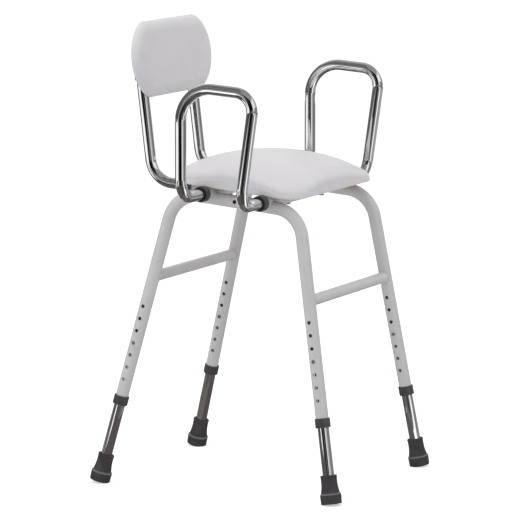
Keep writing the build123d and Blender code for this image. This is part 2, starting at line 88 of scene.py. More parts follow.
along = Vector((0, cos(rail_pitch), sin(rail_pitch)))
above = Vector((0, -sin(rail_pitch), cos(rail_pitch)))
socket_low, socket_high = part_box("rear_arm_socket")
rail_middle = (socket_low + socket_high) / 2 - along * rear_socket_at - above * socket_rise
print("rail middle at", [round(c, 4) for c in rail_middle])

# %% Points on the stool


def on_seat(x, forward, rise):
    """A point given across the stool, rearwards along the rails and above them."""
    return rail_middle + Vector((x, 0, 0)) + along * forward + above * rise


def leg_direction(side, end):
    angle = rake[end]
    return Vector((sides[side] * cos(angle) * sin(splay), ends[end] * sin(angle), -cos(angle) * cos(splay)))


def leg_point(side, end, distance):
    """A point on a leg's centre line, measured down from the rail's corner."""
    rise = ends[end] * rail_span / 2 * tan(rail_pitch)
    across = sides[side] * (rail_half_width - rise * tan(splay))
    corner = rail_middle + Vector((across, ends[end] * rail_span / 2, rise))
    return corner + leg_direction(side, end) * distance


def hole_distance(end, number):
    """From the rail's corner down to one of a leg's holes, which are counted from the top."""
    return first_hole[end] + (number - 1) * hole_pitch


def mouth_distance(end):
    """From the rail's corner down to the open end of the leg's outer tube."""
    return hole_distance(end, hole_count) + tube_past_hole


def frame_square(side):
    """The direction square to a side frame, pointing away from the middle of the stool."""
    return Vector((cos(splay), 0, sides[side] * sin(splay))) * sides[side]


print("leg mouths at", {end: round(mouth_distance(end), 4) for end in ends})

# %% [markdown]
# ## Small helpers
# Node trees are built by hand in nearly every cell below, and every piece, lamp and cloth has to be put in
# the scene. These few lines keep those cells short.

# %% Helpers for node trees and objects


def add(tree, kind, **settings):
    """A node with its properties and unlinked inputs set in one call."""
    node = tree.nodes.new(kind)
    for name, value in settings.items():
        if hasattr(node, name) and name not in node.inputs:
            setattr(node, name, value)
        else:
            node.inputs[name.replace("_", " ")].default_value = value
    return node


def link(tree, *wires):
    """Joins nodes; a wire is (node, its output, node, its input)."""
    for source, output, target, socket in wires:
        tree.links.new(source.outputs[output], target.inputs[socket])


def place_object(name, data):
    obj = bpy.data.objects.new(name, data)
    bpy.context.scene.collection.objects.link(obj)
    return obj


def look_along(obj, direction):
    """Turns a camera or a lamp to look in a direction."""
    obj.rotation_mode = "QUATERNION"
    obj.rotation_quaternion = direction.to_track_quat("-Z", "Y")


def bare_material(name):
    """A new material with an empty tree, and its output node."""
    material = bpy.data.materials.new(name)
    material.use_nodes = True
    material.node_tree.nodes.clear()
    return material, add(material.node_tree, "ShaderNodeOutputMaterial")


# %% [markdown]
# ## Camera
# A long lens from well back keeps the legs nearly parallel. The camera is placed by the angle it looks from,
# its height above the horizon and its distance, so that it is easy to move and still aims at one point.

# %% Camera
camera_azimuth, camera_elevation, camera_distance = radians(-64.134), radians(8.160), 7.4802
camera_aim = Vector((0.0491, 0.0271, 0.4284))
camera_lens, sensor_width = 256.5, 36.0

camera_back = Vector((
    sin(camera_azimuth) * cos(camera_elevation),
    -cos(camera_azimuth) * cos(camera_elevation),
    sin(camera_elevation),
))
camera = place_object("camera", bpy.data.cameras.new("camera"))
camera.data.lens = camera_lens
camera.data.sensor_width = sensor_width
camera.data.clip_end = 50.0
camera.location = camera_aim + camera_back * camera_distance
look_along(camera, -camera_back)
bpy.context.scene.camera = camera
bpy.context.scene.view_settings.view_transform = "Standard"
print("camera at", [round(c, 3) for c in camera.location])

# %% [markdown]
# ## Studio
# White goods on white need a bright, even studio, and chrome needs something dark in it to mirror. So the
# world is plain white to the camera and to mirrors, and a softer white as a light. Dark cloths then go
# wherever a tube should mirror something dark. The view dips by eight degrees, so an upright tube mirrors
# what is low and far off, and a leaning leg mirrors the floor near it. The cloths show in reflections only,
# and each is one stretch of a ring round the stool, so that its bearing, its reach and its tone are easy to
# change.

# %% World
world = bpy.data.worlds.new("studio")
bpy.context.scene.world = world
world.use_nodes = True
tree = world.node_tree
tree.nodes.clear()


def direct_rays(tree):
    """1 for rays from the camera, off a mirror or through glass, and 0 for rays that only carry light."""
    rays = add(tree, "ShaderNodeLightPath")
    seen_or_mirrored = add(tree, "ShaderNodeMath", operation="MAXIMUM")
    direct = add(tree, "ShaderNodeMath", operation="MAXIMUM")
    link(
        tree,
        (rays, "Is Camera Ray", seen_or_mirrored, 0),
        (rays, "Is Glossy Ray", seen_or_mirrored, 1),
        (seen_or_mirrored, "Value", direct, 0),
        (rays, "Is Transmission Ray", direct, 1),
    )
    return direct


soft = add(tree, "ShaderNodeBackground", Color=(0.93, 0.93, 0.95, 1), Strength=0.74)
white = add(tree, "ShaderNodeBackground", Color=(1, 1, 1, 1))
choice = add(tree, "ShaderNodeMixShader")
out = add(tree, "ShaderNodeOutputWorld")
link(
    tree,
    (direct_rays(tree), "Value", choice, "Fac"),
    (soft, "Background", choice, 1),
    (white, "Background", choice, 2),
    (choice, "Shader", out, "Surface"),
)
print("world nodes:", len(tree.nodes))

# %% Where the cloths hang
lift, wall, ceiling_height = 0.001, 7.5, 3.4
facet, floor_warmth, far_warmth, blue_loss = 6, 0.07, 0.01, 1.6
# A ring's near and far edge, each as (reach, height), and its stretches, each as (from, to, tone) in degrees.
cloth_plan = {
    "inner_floor": ((0.02, lift), (0.42, lift), [
        (-80, -30, 0.19), (-30, 90, 0.13), (90, 150, 0.10), (150, 200, 0.17), (200, 280, 0.11)]),
    "middle_floor": ((0.42, lift), (1.35, lift), [
        (-80, -30, 0.07), (-30, -18, 0.20), (16, 150, 0.11), (150, 200, 0.16), (200, 280, 0.11)]),
    "outer_floor": ((1.35, lift), (3.9, lift), [
        (-140, -118, 0.05), (-109, -92, 0.17), (-92, -56, 0.02), (-56, -42, 0.11), (-42, -20, 0.24),
        (0, 75, 0.42), (150, 200, 0.16)]),
    "far_floor": ((3.9, lift), (wall, lift), [
        (120, 182, 0.05), (182, 190, 0.40), (208, 246, 1.25), (-114, -106, 0.40), (-106, -97, 0.15),
        (-97, -43, 0.006), (-36, -24, 0.95), (-24, 0, 0.50), (4, 60, 0.19), (60, 112, 0.35)]),
    "foot_curtain": ((wall, 0.0), (wall, 0.27), [
        (150, 204, 0.45), (204, 230, 0.10), (-130, -92, 0.02), (-92, -52, 0.14), (-52, -36, 0.38),
        (-36, 62, 0.26)]),
    "low_curtain": ((wall, 0.27), (wall, 0.8), [
        (150, 246, 0.10), (-114, -76, 0.01), (-76, -52, 0.14), (-52, -36, 0.38), (-36, 62, 0.26)]),
    "high_curtain": ((wall, 0.8), (wall, 2.2), [
        (150, 232, 0.12), (-128, -102, 0.45), (-102, -42, 0.006), (-24, 0, 0.50), (0, 62, 0.22)]),
    "tall_curtain": ((wall, 2.2), (wall, 6.2), [(150, 270, 0.14), (-90, -42, 0.02), (0, 62, 0.22)]),
    "ceiling": ((0.02, ceiling_height), (3.6, ceiling_height), [
        (-180, -90, 0.17), (-90, 90, 0.33), (90, 180, 0.45)]),
}
print("rings:", *cloth_plan)

# %% Dark cloths


def hang_cloth(name, edges, start, end, tone, warmth):
    """One stretch of a ring, in a plain glowing tone that shows in mirrors only."""
    paint, out = bare_material(name)
    tones = (tone, tone * (1 - warmth), tone * (1 - blue_loss * warmth), 1)
    glow = add(paint.node_tree, "ShaderNodeEmission", Color=tones, Strength=1.0)
    link(paint.node_tree, (glow, "Emission", out, "Surface"))
    steps = max(2, round((end - start) / facet))
    turns = [radians(start + (end - start) * step / steps) for step in range(steps + 1)]
    verts = [(reach * sin(turn), -reach * cos(turn), z) for turn in turns for reach, z in edges]
    mesh = bpy.data.meshes.new(name)
    mesh.from_pydata(verts, [], [(i * 2, i * 2 + 1, i * 2 + 3, i * 2 + 2) for i in range(steps)])
    mesh.materials.append(paint)
    cloth = place_object(name, mesh)
    cloth.visible_camera = cloth.visible_diffuse = cloth.visible_shadow = False


cloths = 0
for ring, (near_edge, far_edge, stretches) in cloth_plan.items():
    warmth = floor_warmth if ring in ("inner_floor", "middle_floor") else far_warmth
    for stretch in stretches:
        hang_cloth(f"studio_cloth_{cloths}", (near_edge, far_edge), *stretch, warmth)
        cloths += 1
print("dark cloths:", cloths)

# %% Lamps
# Each lamp's place, size in metres and power in watts. Mirrors show only the one in front of the stool.
lamp_target = Vector((0, 0, 0.5))
lamp_plan = {
    "overhead_softbox": ((-0.8, 0.2, 3.2), 2.6, 31.0),
    "side_softbox": ((-3.2, 1.6, 1.9), 2.2, 18.5),
    "fill_softbox": ((0.8, -3.0, 2.6), 2.4, 10.5),
}
for name, (place, size, watts) in lamp_plan.items():
    lamp = place_object(name, bpy.data.lights.new(name, "AREA"))
    lamp.data.size, lamp.data.energy = size, watts
    lamp.location = place
    look_along(lamp, lamp_target - Vector(place))
    lamp.visible_glossy = name == "fill_softbox"
print("lamps:", len(lamp_plan))

# %% [markdown]
# ## Floor
# The floor is a plain pale sheet. To a camera ray it glows white except where the object's own contact shadow
# falls, so it is part diffuse and part emission.

# %% Floor
floor_paint, out = bare_material("studio_floor")
tree = floor_paint.node_tree
diffuse = add(tree, "ShaderNodeBsdfDiffuse", Color=(0.86, 0.86, 0.87, 1))
glow = add(tree, "ShaderNodeEmission", Color=(1, 1, 1, 1), Strength=0.50)
both = add(tree, "ShaderNodeAddShader")
choice = add(tree, "ShaderNodeMixShader")
link(
    tree,
    (diffuse, "BSDF", both, 0),
    (glow, "Emission", both, 1),
    (direct_rays(tree), "Value", choice, "Fac"),
    (diffuse, "BSDF", choice, 1),
    (both, "Shader", choice, 2),
    (choice, "Shader", out, "Surface"),
)
floor_half = 14.0
floor_mesh = bpy.data.meshes.new("studio_floor")
floor_corners = [(x * floor_half, y * floor_half, 0) for x, y in ((-1, -1), (1, -1), (1, 1), (-1, 1))]
floor_mesh.from_pydata(floor_corners, [], [(0, 1, 2, 3)])
floor_mesh.materials.append(floor_paint)
floor = place_object("studio_floor", floor_mesh)
print("floor:", 2 * floor_half, "m wide")

# %% [markdown]
# ## Finishes
# Nothing on a real product is one flat colour. Two effects are used by nearly every material here, so each is
# a node group: a soft drift of tone over the surface, and a fine relief. Both work on Object coordinates, so
# they stay with the piece when it moves. The shader itself stays in each material.

# %% Helper for shader groups


def new_group(name, inputs, outputs):
    """A shader node group with named sockets; returns the tree and its two end nodes."""
    group = bpy.data.node_groups.new(name, "ShaderNodeTree")
    for socket, kind, value in inputs:
        made = group.interface.new_socket(socket, in_out="INPUT", socket_type=kind)
        made.default_value = value
    for socket, kind in outputs:
        group.interface.new_socket(socket, in_out="OUTPUT", socket_type=kind)
    return group, group.nodes.new("NodeGroupInput"), group.nodes.new("NodeGroupOutput")


# %% Tone drift
drift, given, result = new_group(
    "tone_drift",
    [("Patch Size", "NodeSocketFloat", 0.08), ("Low", "NodeSocketFloat", 0.0),
     ("High", "NodeSocketFloat", 1.0)],
    [("Value", "NodeSocketFloat")],
)
place = add(drift, "ShaderNodeTexCoord")
per_metre = add(drift, "ShaderNodeMath", operation="DIVIDE", Value=1.0)
cloud = add(drift, "ShaderNodeTexNoise", Detail=5.0, Roughness=0.6)
level = add(drift, "ShaderNodeMapRange", From_Min=0.3, From_Max=0.7)
link(
    drift,
    (given, "Patch Size", per_metre, 1),
    (place, "Object", cloud, "Vector"),
    (per_metre, "Value", cloud, "Scale"),
    (cloud, "Fac", level, "Value"),
    (given, "Low", level, "To Min"),
    (given, "High", level, "To Max"),
    (level, "Result", result, "Value"),
)
print("tone drift nodes:", len(drift.nodes))

# %% Fine relief
relief, given, result = new_group(
    "fine_relief",
    [("Grain Size", "NodeSocketFloat", 0.001), ("Cell Share", "NodeSocketFloat", 0.5)],
    [("Height", "NodeSocketFloat")],
)
place = add(relief, "ShaderNodeTexCoord")
per_metre = add(relief, "ShaderNodeMath", operation="DIVIDE", Value=1.0)
speckle = add(relief, "ShaderNodeTexNoise", Detail=3.0)
cells = add(relief, "ShaderNodeTexVoronoi", feature="SMOOTH_F1", Smoothness=0.6)
height = add(relief, "ShaderNodeMix", data_type="FLOAT")
link(
    relief,
    (given, "Grain Size", per_metre, 1),
    (place, "Object", speckle, "Vector"),
    (place, "Object", cells, "Vector"),
    (per_metre, "Value", speckle, "Scale"),
    (per_metre, "Value", cells, "Scale"),
    (given, "Cell Share", height, "Factor"),
    (speckle, "Fac", height, "A"),
    (cells, "Distance", height, "B"),
    (height, "Result", result, "Height"),
)
print("fine relief nodes:", len(relief.nodes))

# %% [markdown]
# ## A material from the two groups
# Every finish below is the same recipe with its own numbers: two tones mixed by the slow drift, a roughness
# that drifts at another size, and a bump from the relief. What makes chrome chrome, or rubber rubber, is set
# on the shader's own sockets.

# %% Material recipe
rough_patch_share, relief_strength = 0.37, 0.6


def finish(name, dark, light, patch, rough_low, rough_high, grain, cell_share, bump, **sockets):
    """A Principled material with drifting tone and roughness and a fine relief. dark and light are its tones,
    patch and grain are sizes, and bump is the relief's height."""
    material = bpy.data.materials.new(name)
    material.use_nodes = True
    tree = material.node_tree
    shader = tree.nodes["Principled BSDF"]
    for socket, value in sockets.items():
        shader.inputs[socket.replace("_", " ")].default_value = value
    tone = add(tree, "ShaderNodeGroup", node_tree=drift, Patch_Size=patch)
    colour = add(tree, "ShaderNodeMix", data_type="RGBA", A=(*dark, 1), B=(*light, 1))
    rough = add(tree, "ShaderNodeGroup", node_tree=drift, Patch_Size=patch * rough_patch_share, Low=rough_low,
                High=rough_high)
    grit = add(tree, "ShaderNodeGroup", node_tree=relief, Grain_Size=grain, Cell_Share=cell_share)
    lift = add(tree, "ShaderNodeBump", Strength=relief_strength, Distance=bump)
    link(
        tree,
        (tone, "Value", colour, "Factor"),
        (colour, "Result", shader, "Base Color"),
        (rough, "Value", shader, "Roughness"),
        (grit, "Height", lift, "Height"),
        (lift, "Normal", shader, "Normal"),
    )
    return material


# %% The finishes
powder_coat = finish("powder_coat", (0.555, 0.537, 0.530), (0.605, 0.587, 0.580), 0.09, 0.34, 0.44,
                     0.0012, 0.35, 0.00004, Coat_Weight=0.25, Coat_Roughness=0.25)
chrome = finish("bright_chrome", (0.72, 0.72, 0.725), (0.79, 0.79, 0.795), 0.05, 0.02, 0.05,
                0.02, 0.0, 0.00002, Metallic=1.0)
vinyl = finish("upholstery_vinyl", (0.655, 0.640, 0.655), (0.705, 0.690, 0.705), 0.12, 0.40, 0.52,
               0.0011, 0.75, 0.00009, Sheen_Weight=0.08, Sheen_Roughness=0.5, Specular_IOR_Level=0.35)
collar_plastic = finish("collar_plastic", (0.055, 0.049, 0.048), (0.076, 0.068, 0.066), 0.02, 0.42, 0.55,
                        0.0008, 0.4, 0.00006)
tyre_rubber = finish("foot_rubber", (0.040, 0.037, 0.039), (0.070, 0.065, 0.068), 0.025, 0.55, 0.75,
                     0.0009, 0.5, 0.00010, Specular_IOR_Level=0.3)
cap_plastic = finish("cap_plastic", (0.012, 0.012, 0.012), (0.022, 0.022, 0.022), 0.02, 0.25, 0.35,
                     0.0012, 0.2, 0.00002)
zinc = finish("zinc_plate", (0.42, 0.43, 0.45), (0.60, 0.60, 0.60), 0.004, 0.24, 0.42,
              0.0006, 0.5, 0.00003, Metallic=1.0)
spring_steel = finish("spring_steel", (0.16, 0.17, 0.20), (0.26, 0.26, 0.28), 0.01, 0.25, 0.4,
                      0.0006, 0.0, 0.00002, Metallic=1.0)
print("finishes:", len(bpy.data.materials))

# %% [markdown]
# ## Plywood
# The two boards inside the pads are birch plywood. Long grain comes from noise that is stretched along the
# board, and the plies show on the cut edges as thin bands through the thickness.

# %% Plywood


def recolour(material, mix, mask, output, socket):
    """Puts a Mix node between a finish's own tones and its shader, with a mask on one of the Mix's inputs."""
    shader = material.node_tree.nodes["Principled BSDF"]
    tones = shader.inputs["Base Color"].links[0].from_node
    link(material.node_tree, (tones, "Result", mix, "A"), (mask, output, mix, socket),
         (mix, "Result", shader, "Base Color"))


plywood = finish("plywood", (0.36, 0.23, 0.12), (0.55, 0.40, 0.24), 0.05, 0.5, 0.65, 0.0015, 0.2, 0.00008)
tree = plywood.node_tree
place = add(tree, "ShaderNodeTexCoord")
stretch = add(tree, "ShaderNodeMapping", Scale=(6.0, 120.0, 400.0))
fibre = add(tree, "ShaderNodeTexNoise", Scale=1.0, Detail=6.0)
wood = add(tree, "ShaderNodeMix", data_type="RGBA", blend_type="MULTIPLY", Factor=0.55)
link(tree, (place, "Object", stretch, "Vector"), (stretch, "Vector", fibre, "Vector"))
recolour(plywood, wood, fibre, "Fac", "B")
print("plywood nodes:", len(tree.nodes))

# %% [markdown]
# ## From a node tree to a plain piece
# A Geometry Nodes modifier is a recipe, and the finished stool needs plain meshes. So each recipe is put on a
# scratch object, evaluated once, and the result kept as a new mesh with no modifier on it.

# %% Recipes


def new_recipe(name, inputs):
    """A geometry node group with named inputs, and its two end nodes."""
    group = bpy.data.node_groups.new(name, "GeometryNodeTree")
    group.interface.new_socket("Geometry", in_out="INPUT", socket_type="NodeSocketGeometry")
    for socket, kind, value in inputs:
        made = group.interface.new_socket(socket, in_out="INPUT", socket_type=kind)
        if value is not None:
            made.default_value = value
    group.interface.new_socket("Geometry", in_out="OUTPUT", socket_type="NodeSocketGeometry")
    return group, group.nodes.new("NodeGroupInput"), group.nodes.new("NodeGroupOutput")


def apply_recipe(obj, recipe, **values):
    """Adds a recipe to a scratch object; its inputs are set by identifier before it is evaluated."""
    modifier = obj.modifiers.new(recipe.name, "NODES")
    modifier.node_group = recipe
    for item in recipe.interface.items_tree:
        key = item.name.replace(" ", "_")
        if item.in_out == "INPUT" and key in values:
            modifier[item.identifier] = values[key]


def close_recipe(recipe, given, result, made, socket):
    """Ends a recipe as every recipe here ends: copies made real, and the finish put on."""
    whole = add(recipe, "GeometryNodeRealizeInstances")
    coat = add(recipe, "GeometryNodeSetMaterial")
    link(
        recipe,
        (made, socket, whole, "Geometry"),
        (whole, "Geometry", coat, "Geometry"),
        (given, "Finish", coat, "Material"),
        (coat, "Geometry", result, "Geometry"),
    )


def stored(recipe, name, data_type="FLOAT_VECTOR"):
    """Reads a value that the scratch object's points carry."""
    return add(recipe, "GeometryNodeInputNamedAttribute", data_type=data_type, Name=name)


# %% Turning recipes into meshes


def scratch(name, verts, edges=(), attributes=None):
    """A throw-away object that carries points or edges for a recipe."""
    mesh = bpy.data.meshes.new(name)
    mesh.from_pydata([tuple(v) for v in verts], list(edges), [])
    for key, (kind, values) in (attributes or {}).items():
        layer = mesh.attributes.new(key, kind, "POINT")
        for i, value in enumerate(values):
            if kind == "FLOAT":
                layer.data[i].value = value
            else:
                layer.data[i].vector = value
    return place_object(name, mesh)


def smooth(mesh, sharp_angle):
    mesh.shade_smooth()
    mesh.set_sharp_from_angle(angle=radians(sharp_angle))
    return mesh


def edited(name, solid):
    """Turns an edited shape into a new mesh."""
    mesh = bpy.data.meshes.new(name)
    solid.to_mesh(mesh)
    solid.free()
    return mesh


def bake(obj, sharp_angle=35.0):
    """The evaluated mesh of a scratch object, smooth but for its sharp edges; the object is removed."""
    bpy.context.view_layer.update()
    graph = bpy.context.evaluated_depsgraph_get()
    mesh = bpy.data.meshes.new_from_object(obj.evaluated_get(graph))
    bpy.data.objects.remove(obj)
    return smooth(mesh, sharp_angle)


# %% Pieces


def piece(name, mesh, body, material=None, replaces=()):
    """Puts a finished mesh in the scene as a piece that rides on a body."""
    obj = place_object(name, mesh)
    if material is not None:
        mesh.materials.clear()
        mesh.materials.append(material)
    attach(obj, body)
    if replaces:
        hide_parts(*replaces)
    return obj


bodies = frame["record"]["behaviour"]["bodies"]
body_of = {node: body for body, members in bodies.items() for node in members}
print("bodies:", len(bodies))

# %% [markdown]
# ## Bent tube
# All the tubes of the stool are drawn the same way: a centre line of straight runs, rounded at each corner by
# the bender's radius, with a circle carried along it. The recipe reads each corner's radius from the points,
# so one tree bends the big side frames and the tight corners of the arms alike.

# %% Bent tube recipe
bent_tube, given, result = new_recipe("bent_tube", [
    ("Outer Radius", "NodeSocketFloat", frame_tube_r),
    ("Around", "NodeSocketInt", 72),
    ("Finish", "NodeSocketMaterial", None),
])
centre_line = add(bent_tube, "GeometryNodeMeshToCurve")
corner_radius = stored(bent_tube, "bend_radius", "FLOAT")
corners = add(bent_tube, "GeometryNodeFilletCurve", mode="POLY", Count=20, Limit_Radius=True)
circle = add(bent_tube, "GeometryNodeCurvePrimitiveCircle")
skin = add(bent_tube, "GeometryNodeCurveToMesh")
link(
    bent_tube,
    (given, "Geometry", centre_line, "Mesh"),
    (centre_line, "Curve", corners, "Curve"),
    (corner_radius, "Attribute", corners, "Radius"),
    (given, "Outer Radius", circle, "Radius"),
    (given, "Around", circle, "Resolution"),
    (corners, "Curve", skin, "Curve"),
    (circle, "Curve", skin, "Profile Curve"),
)
close_recipe(bent_tube, given, result, skin, "Mesh")
print("bent tube nodes:", len(bent_tube.nodes))

# %% [markdown]
# ## Holes
# The row of adjustment holes, the drain holes, the screw holes and the copes where one tube meets another are
# all round cuts. A second tree puts a unit cylinder on every hole's point, turns it to the hole's direction,
# stretches it to its radius and depth, and subtracts the lot.

# %% Hole recipe
bore_holes, given, result = new_recipe("bore_holes", [
    ("Holes", "NodeSocketObject", None),
    ("Around", "NodeSocketInt", 40),
    ("Finish", "NodeSocketMaterial", None),
])
places = add(bore_holes, "GeometryNodeObjectInfo")
facing = stored(bore_holes, "facing")
bore_size = stored(bore_holes, "bore_size")
turned = add(bore_holes, "FunctionNodeAlignRotationToVector", axis="Z")
cutter = add(bore_holes, "GeometryNodeMeshCylinder", Radius=1.0, Depth=1.0)
cutters = add(bore_holes, "GeometryNodeInstanceOnPoints")
solid_cutters = add(bore_holes, "GeometryNodeRealizeInstances")
cut = add(bore_holes, "GeometryNodeMeshBoolean", operation="DIFFERENCE", solver="EXACT")
link(
    bore_holes,
    (given, "Holes", places, "Object"),
    (given, "Around", cutter, "Vertices"),
    (facing, "Attribute", turned, "Vector"),
    (places, "Geometry", cutters, "Points"),
    (cutter, "Mesh", cutters, "Instance"),
    (turned, "Rotation", cutters, "Rotation"),
    (bore_size, "Attribute", cutters, "Scale"),
    (cutters, "Instances", solid_cutters, "Geometry"),
    (given, "Geometry", cut, "Mesh 1"),
    (solid_cutters, "Geometry", cut, "Mesh 2"),
)
close_recipe(bore_holes, given, result, cut, "Mesh")
print("hole nodes:", len(bore_holes.nodes))

# %% One tube, bent, walled and bored
bend_ring_gap = 2 * mm


def make_tube(name, route, radii, outer, wall, paint, holes=(), around=72):
    """A tube's mesh. The route's inner points take the bend radii; a hole is (place, facing, radius, depth).
    Each bend gets a ring just outside either end, so that the straight runs mirror as straight tubes do."""
    points, sizes = [route[0]], [0.0]
    for before, corner, after, radius in zip(route, route[1:], route[2:], radii):
        back, on = before - corner, after - corner
        reach = radius / tan(back.angle(on) / 2) + bend_ring_gap
        points += [corner + back.normalized() * reach, corner, corner + on.normalized() * reach]
        sizes += [0.0, radius, 0.0]
    points, sizes = [*points, route[-1]], [*sizes, 0.0]
    edges = [(i, i + 1) for i in range(len(points) - 1)]
    obj = scratch(name, points, edges, attributes={"bend_radius": ("FLOAT", sizes)})
    apply_recipe(obj, bent_tube, Outer_Radius=outer, Around=around, Finish=paint)
    walls = obj.modifiers.new("wall", "SOLIDIFY")
    walls.thickness = wall
    walls.offset = -1.0
    drill = None
    if holes:
        drill = scratch(name + "_drill", [place for place, *_ in holes], attributes={
            "facing": ("FLOAT_VECTOR", [tuple(facing) for _, facing, *_ in holes]),
            "bore_size": ("FLOAT_VECTOR", [(radius, radius, depth) for *_, radius, depth in holes]),
        })
        apply_recipe(obj, bore_holes, Holes=drill, Finish=paint)
    mesh = bake(obj)
    if drill:
        bpy.data.objects.remove(drill)
    return mesh


# %% [markdown]
# ## Side frames
# Each side of the stool is one tube, bent twice: up one leg, along under the seat and down the other leg. It
# is drilled through for the snap buttons, has a drain hole in the rail, and is notched where the cross tubes
# lie across it.

# %% Side frames
socket_end, weld_gap, vent_r = 208.5 * mm, 0.1 * mm, 4.0 * mm
through, vent_depth = 60 * mm, frame_tube_r * 1.6
x_axis = Vector((1, 0, 0))
notches = [(on_seat(0, socket_at[end], socket_rise), x_axis, frame_tube_r + weld_gap, socket_end * 2)
           for end in ends]
for side, turn in sides.items():
    name = f"side_tube_{side}"
    route = [leg_point(side, "rear", mouth_distance("rear")), leg_point(side, "rear", 0),
             leg_point(side, "front", 0), leg_point(side, "front", mouth_distance("front"))]
    square = frame_square(side)
    holes = [(leg_point(side, end, hole_distance(end, number)), square, hole_r, through)
             for end in ends for number in range(1, hole_count + 1)]
    vent = on_seat(turn * rail_half_width, 0, 0) + square * frame_tube_r
    holes += [(vent, square, vent_r, vent_depth), *notches]
    mesh = make_tube(name, route, [bend_radius] * 2, frame_tube_r, frame_wall, powder_coat, holes)
    piece(name, mesh, "frame", replaces=[f"side_frame_{side}"])
    print(name, len(mesh.polygons), "faces", len(holes), "cuts")

# %% [markdown]
# ## Cross tubes
# Two thin bars low between the legs and two full-size tubes under the seat tie the two sides together. The
# tubes under the seat also take the arms, and two short stubs behind them take the backrest.

# %% Crossbars between the legs
crossbar_height = {"front": 391.0 * mm, "rear": 417.5 * mm}
crossbar_r, crossbar_wall, bar_cope_length = 11.1 * mm, 1.5 * mm, 100 * mm
inset = Vector((frame_tube_r / 3, 0, 0))
bar_ends = {}
for end, height in crossbar_height.items():
    level = (leg_point("left", end, 0).z - height) / -leg_direction("left", end).z
    tips = bar_ends[end] = [leg_point(side, end, level) for side in sides]
    copes = [(tip, leg_direction(side, end), frame_tube_r + weld_gap, bar_cope_length)
             for side, tip in zip(sides, tips)]
    mesh = make_tube(f"crossbar_{end}", [tips[0] + inset, tips[1] - inset], [], crossbar_r, crossbar_wall,
                     powder_coat, copes)
    piece(f"low_crossbar_{end}", mesh, "frame", replaces=[f"{end}_crossbar"])
    print("crossbar", end, "spans", round((tips[1] - tips[0]).length, 4))

# %% Tubes under the seat
seat_screw_x, screw_r, slip, stub_cope_length = 78.0 * mm, 3.0 * mm, 0.08 * mm, 90 * mm
back_half_span, back_socket_rise, back_socket_mouth = 108.0 * mm, 6.1 * mm, 139.0 * mm
for end in ends:
    tips = [on_seat(turn * socket_end, socket_at[end], socket_rise) for turn in sides.values()]
    holes = [(on_seat(turn * seat_screw_x, socket_at[end], socket_rise), above, screw_r + slip, through)
             for turn in sides.values()]
    mesh = make_tube(f"seat_tube_{end}", tips, [], frame_tube_r, frame_wall, powder_coat, holes)
    piece(f"arm_tube_{end}", mesh, "frame", replaces=[f"{end}_arm_socket"])
for side, turn in sides.items():
    x = turn * back_half_span
    route = [on_seat(x, reach, back_socket_rise) for reach in (rear_socket_at, back_socket_mouth)]
    cope = (on_seat(x, rear_socket_at, socket_rise), x_axis, frame_tube_r + weld_gap, stub_cope_length)
    mesh = make_tube(f"back_stub_{side}", route, [], frame_tube_r, frame_wall, powder_coat, [cope])
    piece(f"back_stub_{side}", mesh, "frame", replaces=[f"back_socket_{side}"])

# %% [markdown]
# ## Telescopic legs
# The leg is a plated tube that slides in the side frame. Most of it is hidden, but it comes into view when
# the leg is let down, so it is drawn whole, with the two holes that its snap buttons look out of.

# %% Leg tubes
plated_r, plated_wall, plated_above_button, button_r = 11.12 * mm, 1.5 * mm, 17.0 * mm, 3.4 * mm
foot_tread_r, foot_bite, foot_sole, washer_thickness = 20.2 * mm, 1.5 * mm, 14.0 * mm, 1.6 * mm


def tread_distance(end):
    """From the rail's corner down to the middle of the tread, which bites a little way into the floor."""
    down = leg_direction("left", end)
    return (leg_point("left", end, 0).z - foot_tread_r * sqrt(1 - down.z**2) + foot_bite) / -down.z


for side, end in legs:
    name, button_at = f"plated_leg_{end}_{side}", hole_distance(end, rest_hole)
    top, bottom = button_at - plated_above_button, tread_distance(end) - foot_sole - washer_thickness
    route = [leg_point(side, end, top), leg_point(side, end, bottom)]
    hole = (leg_point(side, end, button_at), frame_square(side), button_r + slip, through)
    mesh = make_tube(name, route, [], plated_r, plated_wall, chrome, [hole])
    piece(name, mesh, f"leg_{end}_{side}", replaces=[f"leg_tube_{end}_{side}"])
print("legs:", {end: round(tread_distance(end), 4) for end in ends})

# %% [markdown]
# ## Arms and back tubes
# The arms and the back tubes are bright plated tubes. Each arm is bent four times and plugs into the front
# and rear cross tubes, and each back tube is bent once.

# %% Arms
arm_half_span, arm_insert, arm_rise = 293.8 * mm, 105.0 * mm, 220.7 * mm
arm_fall, arm_front_lean = tan(radians(4.25)), tan(radians(8.1))
arm_bends = [bend * mm for bend in (38.0, 64.0, 37.0, 38.0)]
socket_lip = 3.5 * mm
rear_foot, front_foot = [on_seat(0, socket_at[end], socket_rise) for end in ("rear", "front")]
rear_top, lean = rear_foot.z + arm_rise, arm_fall * arm_front_lean
front_rise = (rear_top - front_foot.z - (rear_foot.y - front_foot.y) * arm_fall) / (1 + lean)
for side, turn in sides.items():
    stub, span = turn * (socket_end + socket_lip - arm_insert), turn * arm_half_span
    route = [Vector(corner) for corner in (
        (stub, *rear_foot.yz), (span, *rear_foot.yz), (span, rear_foot.y, rear_top),
        (span, front_foot.y - front_rise * arm_front_lean, front_foot.z + front_rise),
        (span, *front_foot.yz), (stub, *front_foot.yz),
    )]
    mesh = make_tube(f"arm_hoop_{side}", route, arm_bends, plated_r, plated_wall, chrome, around=96)
    piece(f"arm_hoop_{side}", mesh, f"arm_{side}", replaces=[f"arm_{side}"])
print("arm top from", round(rear_top, 4), "down to", round(front_foot.z + front_rise, 4))

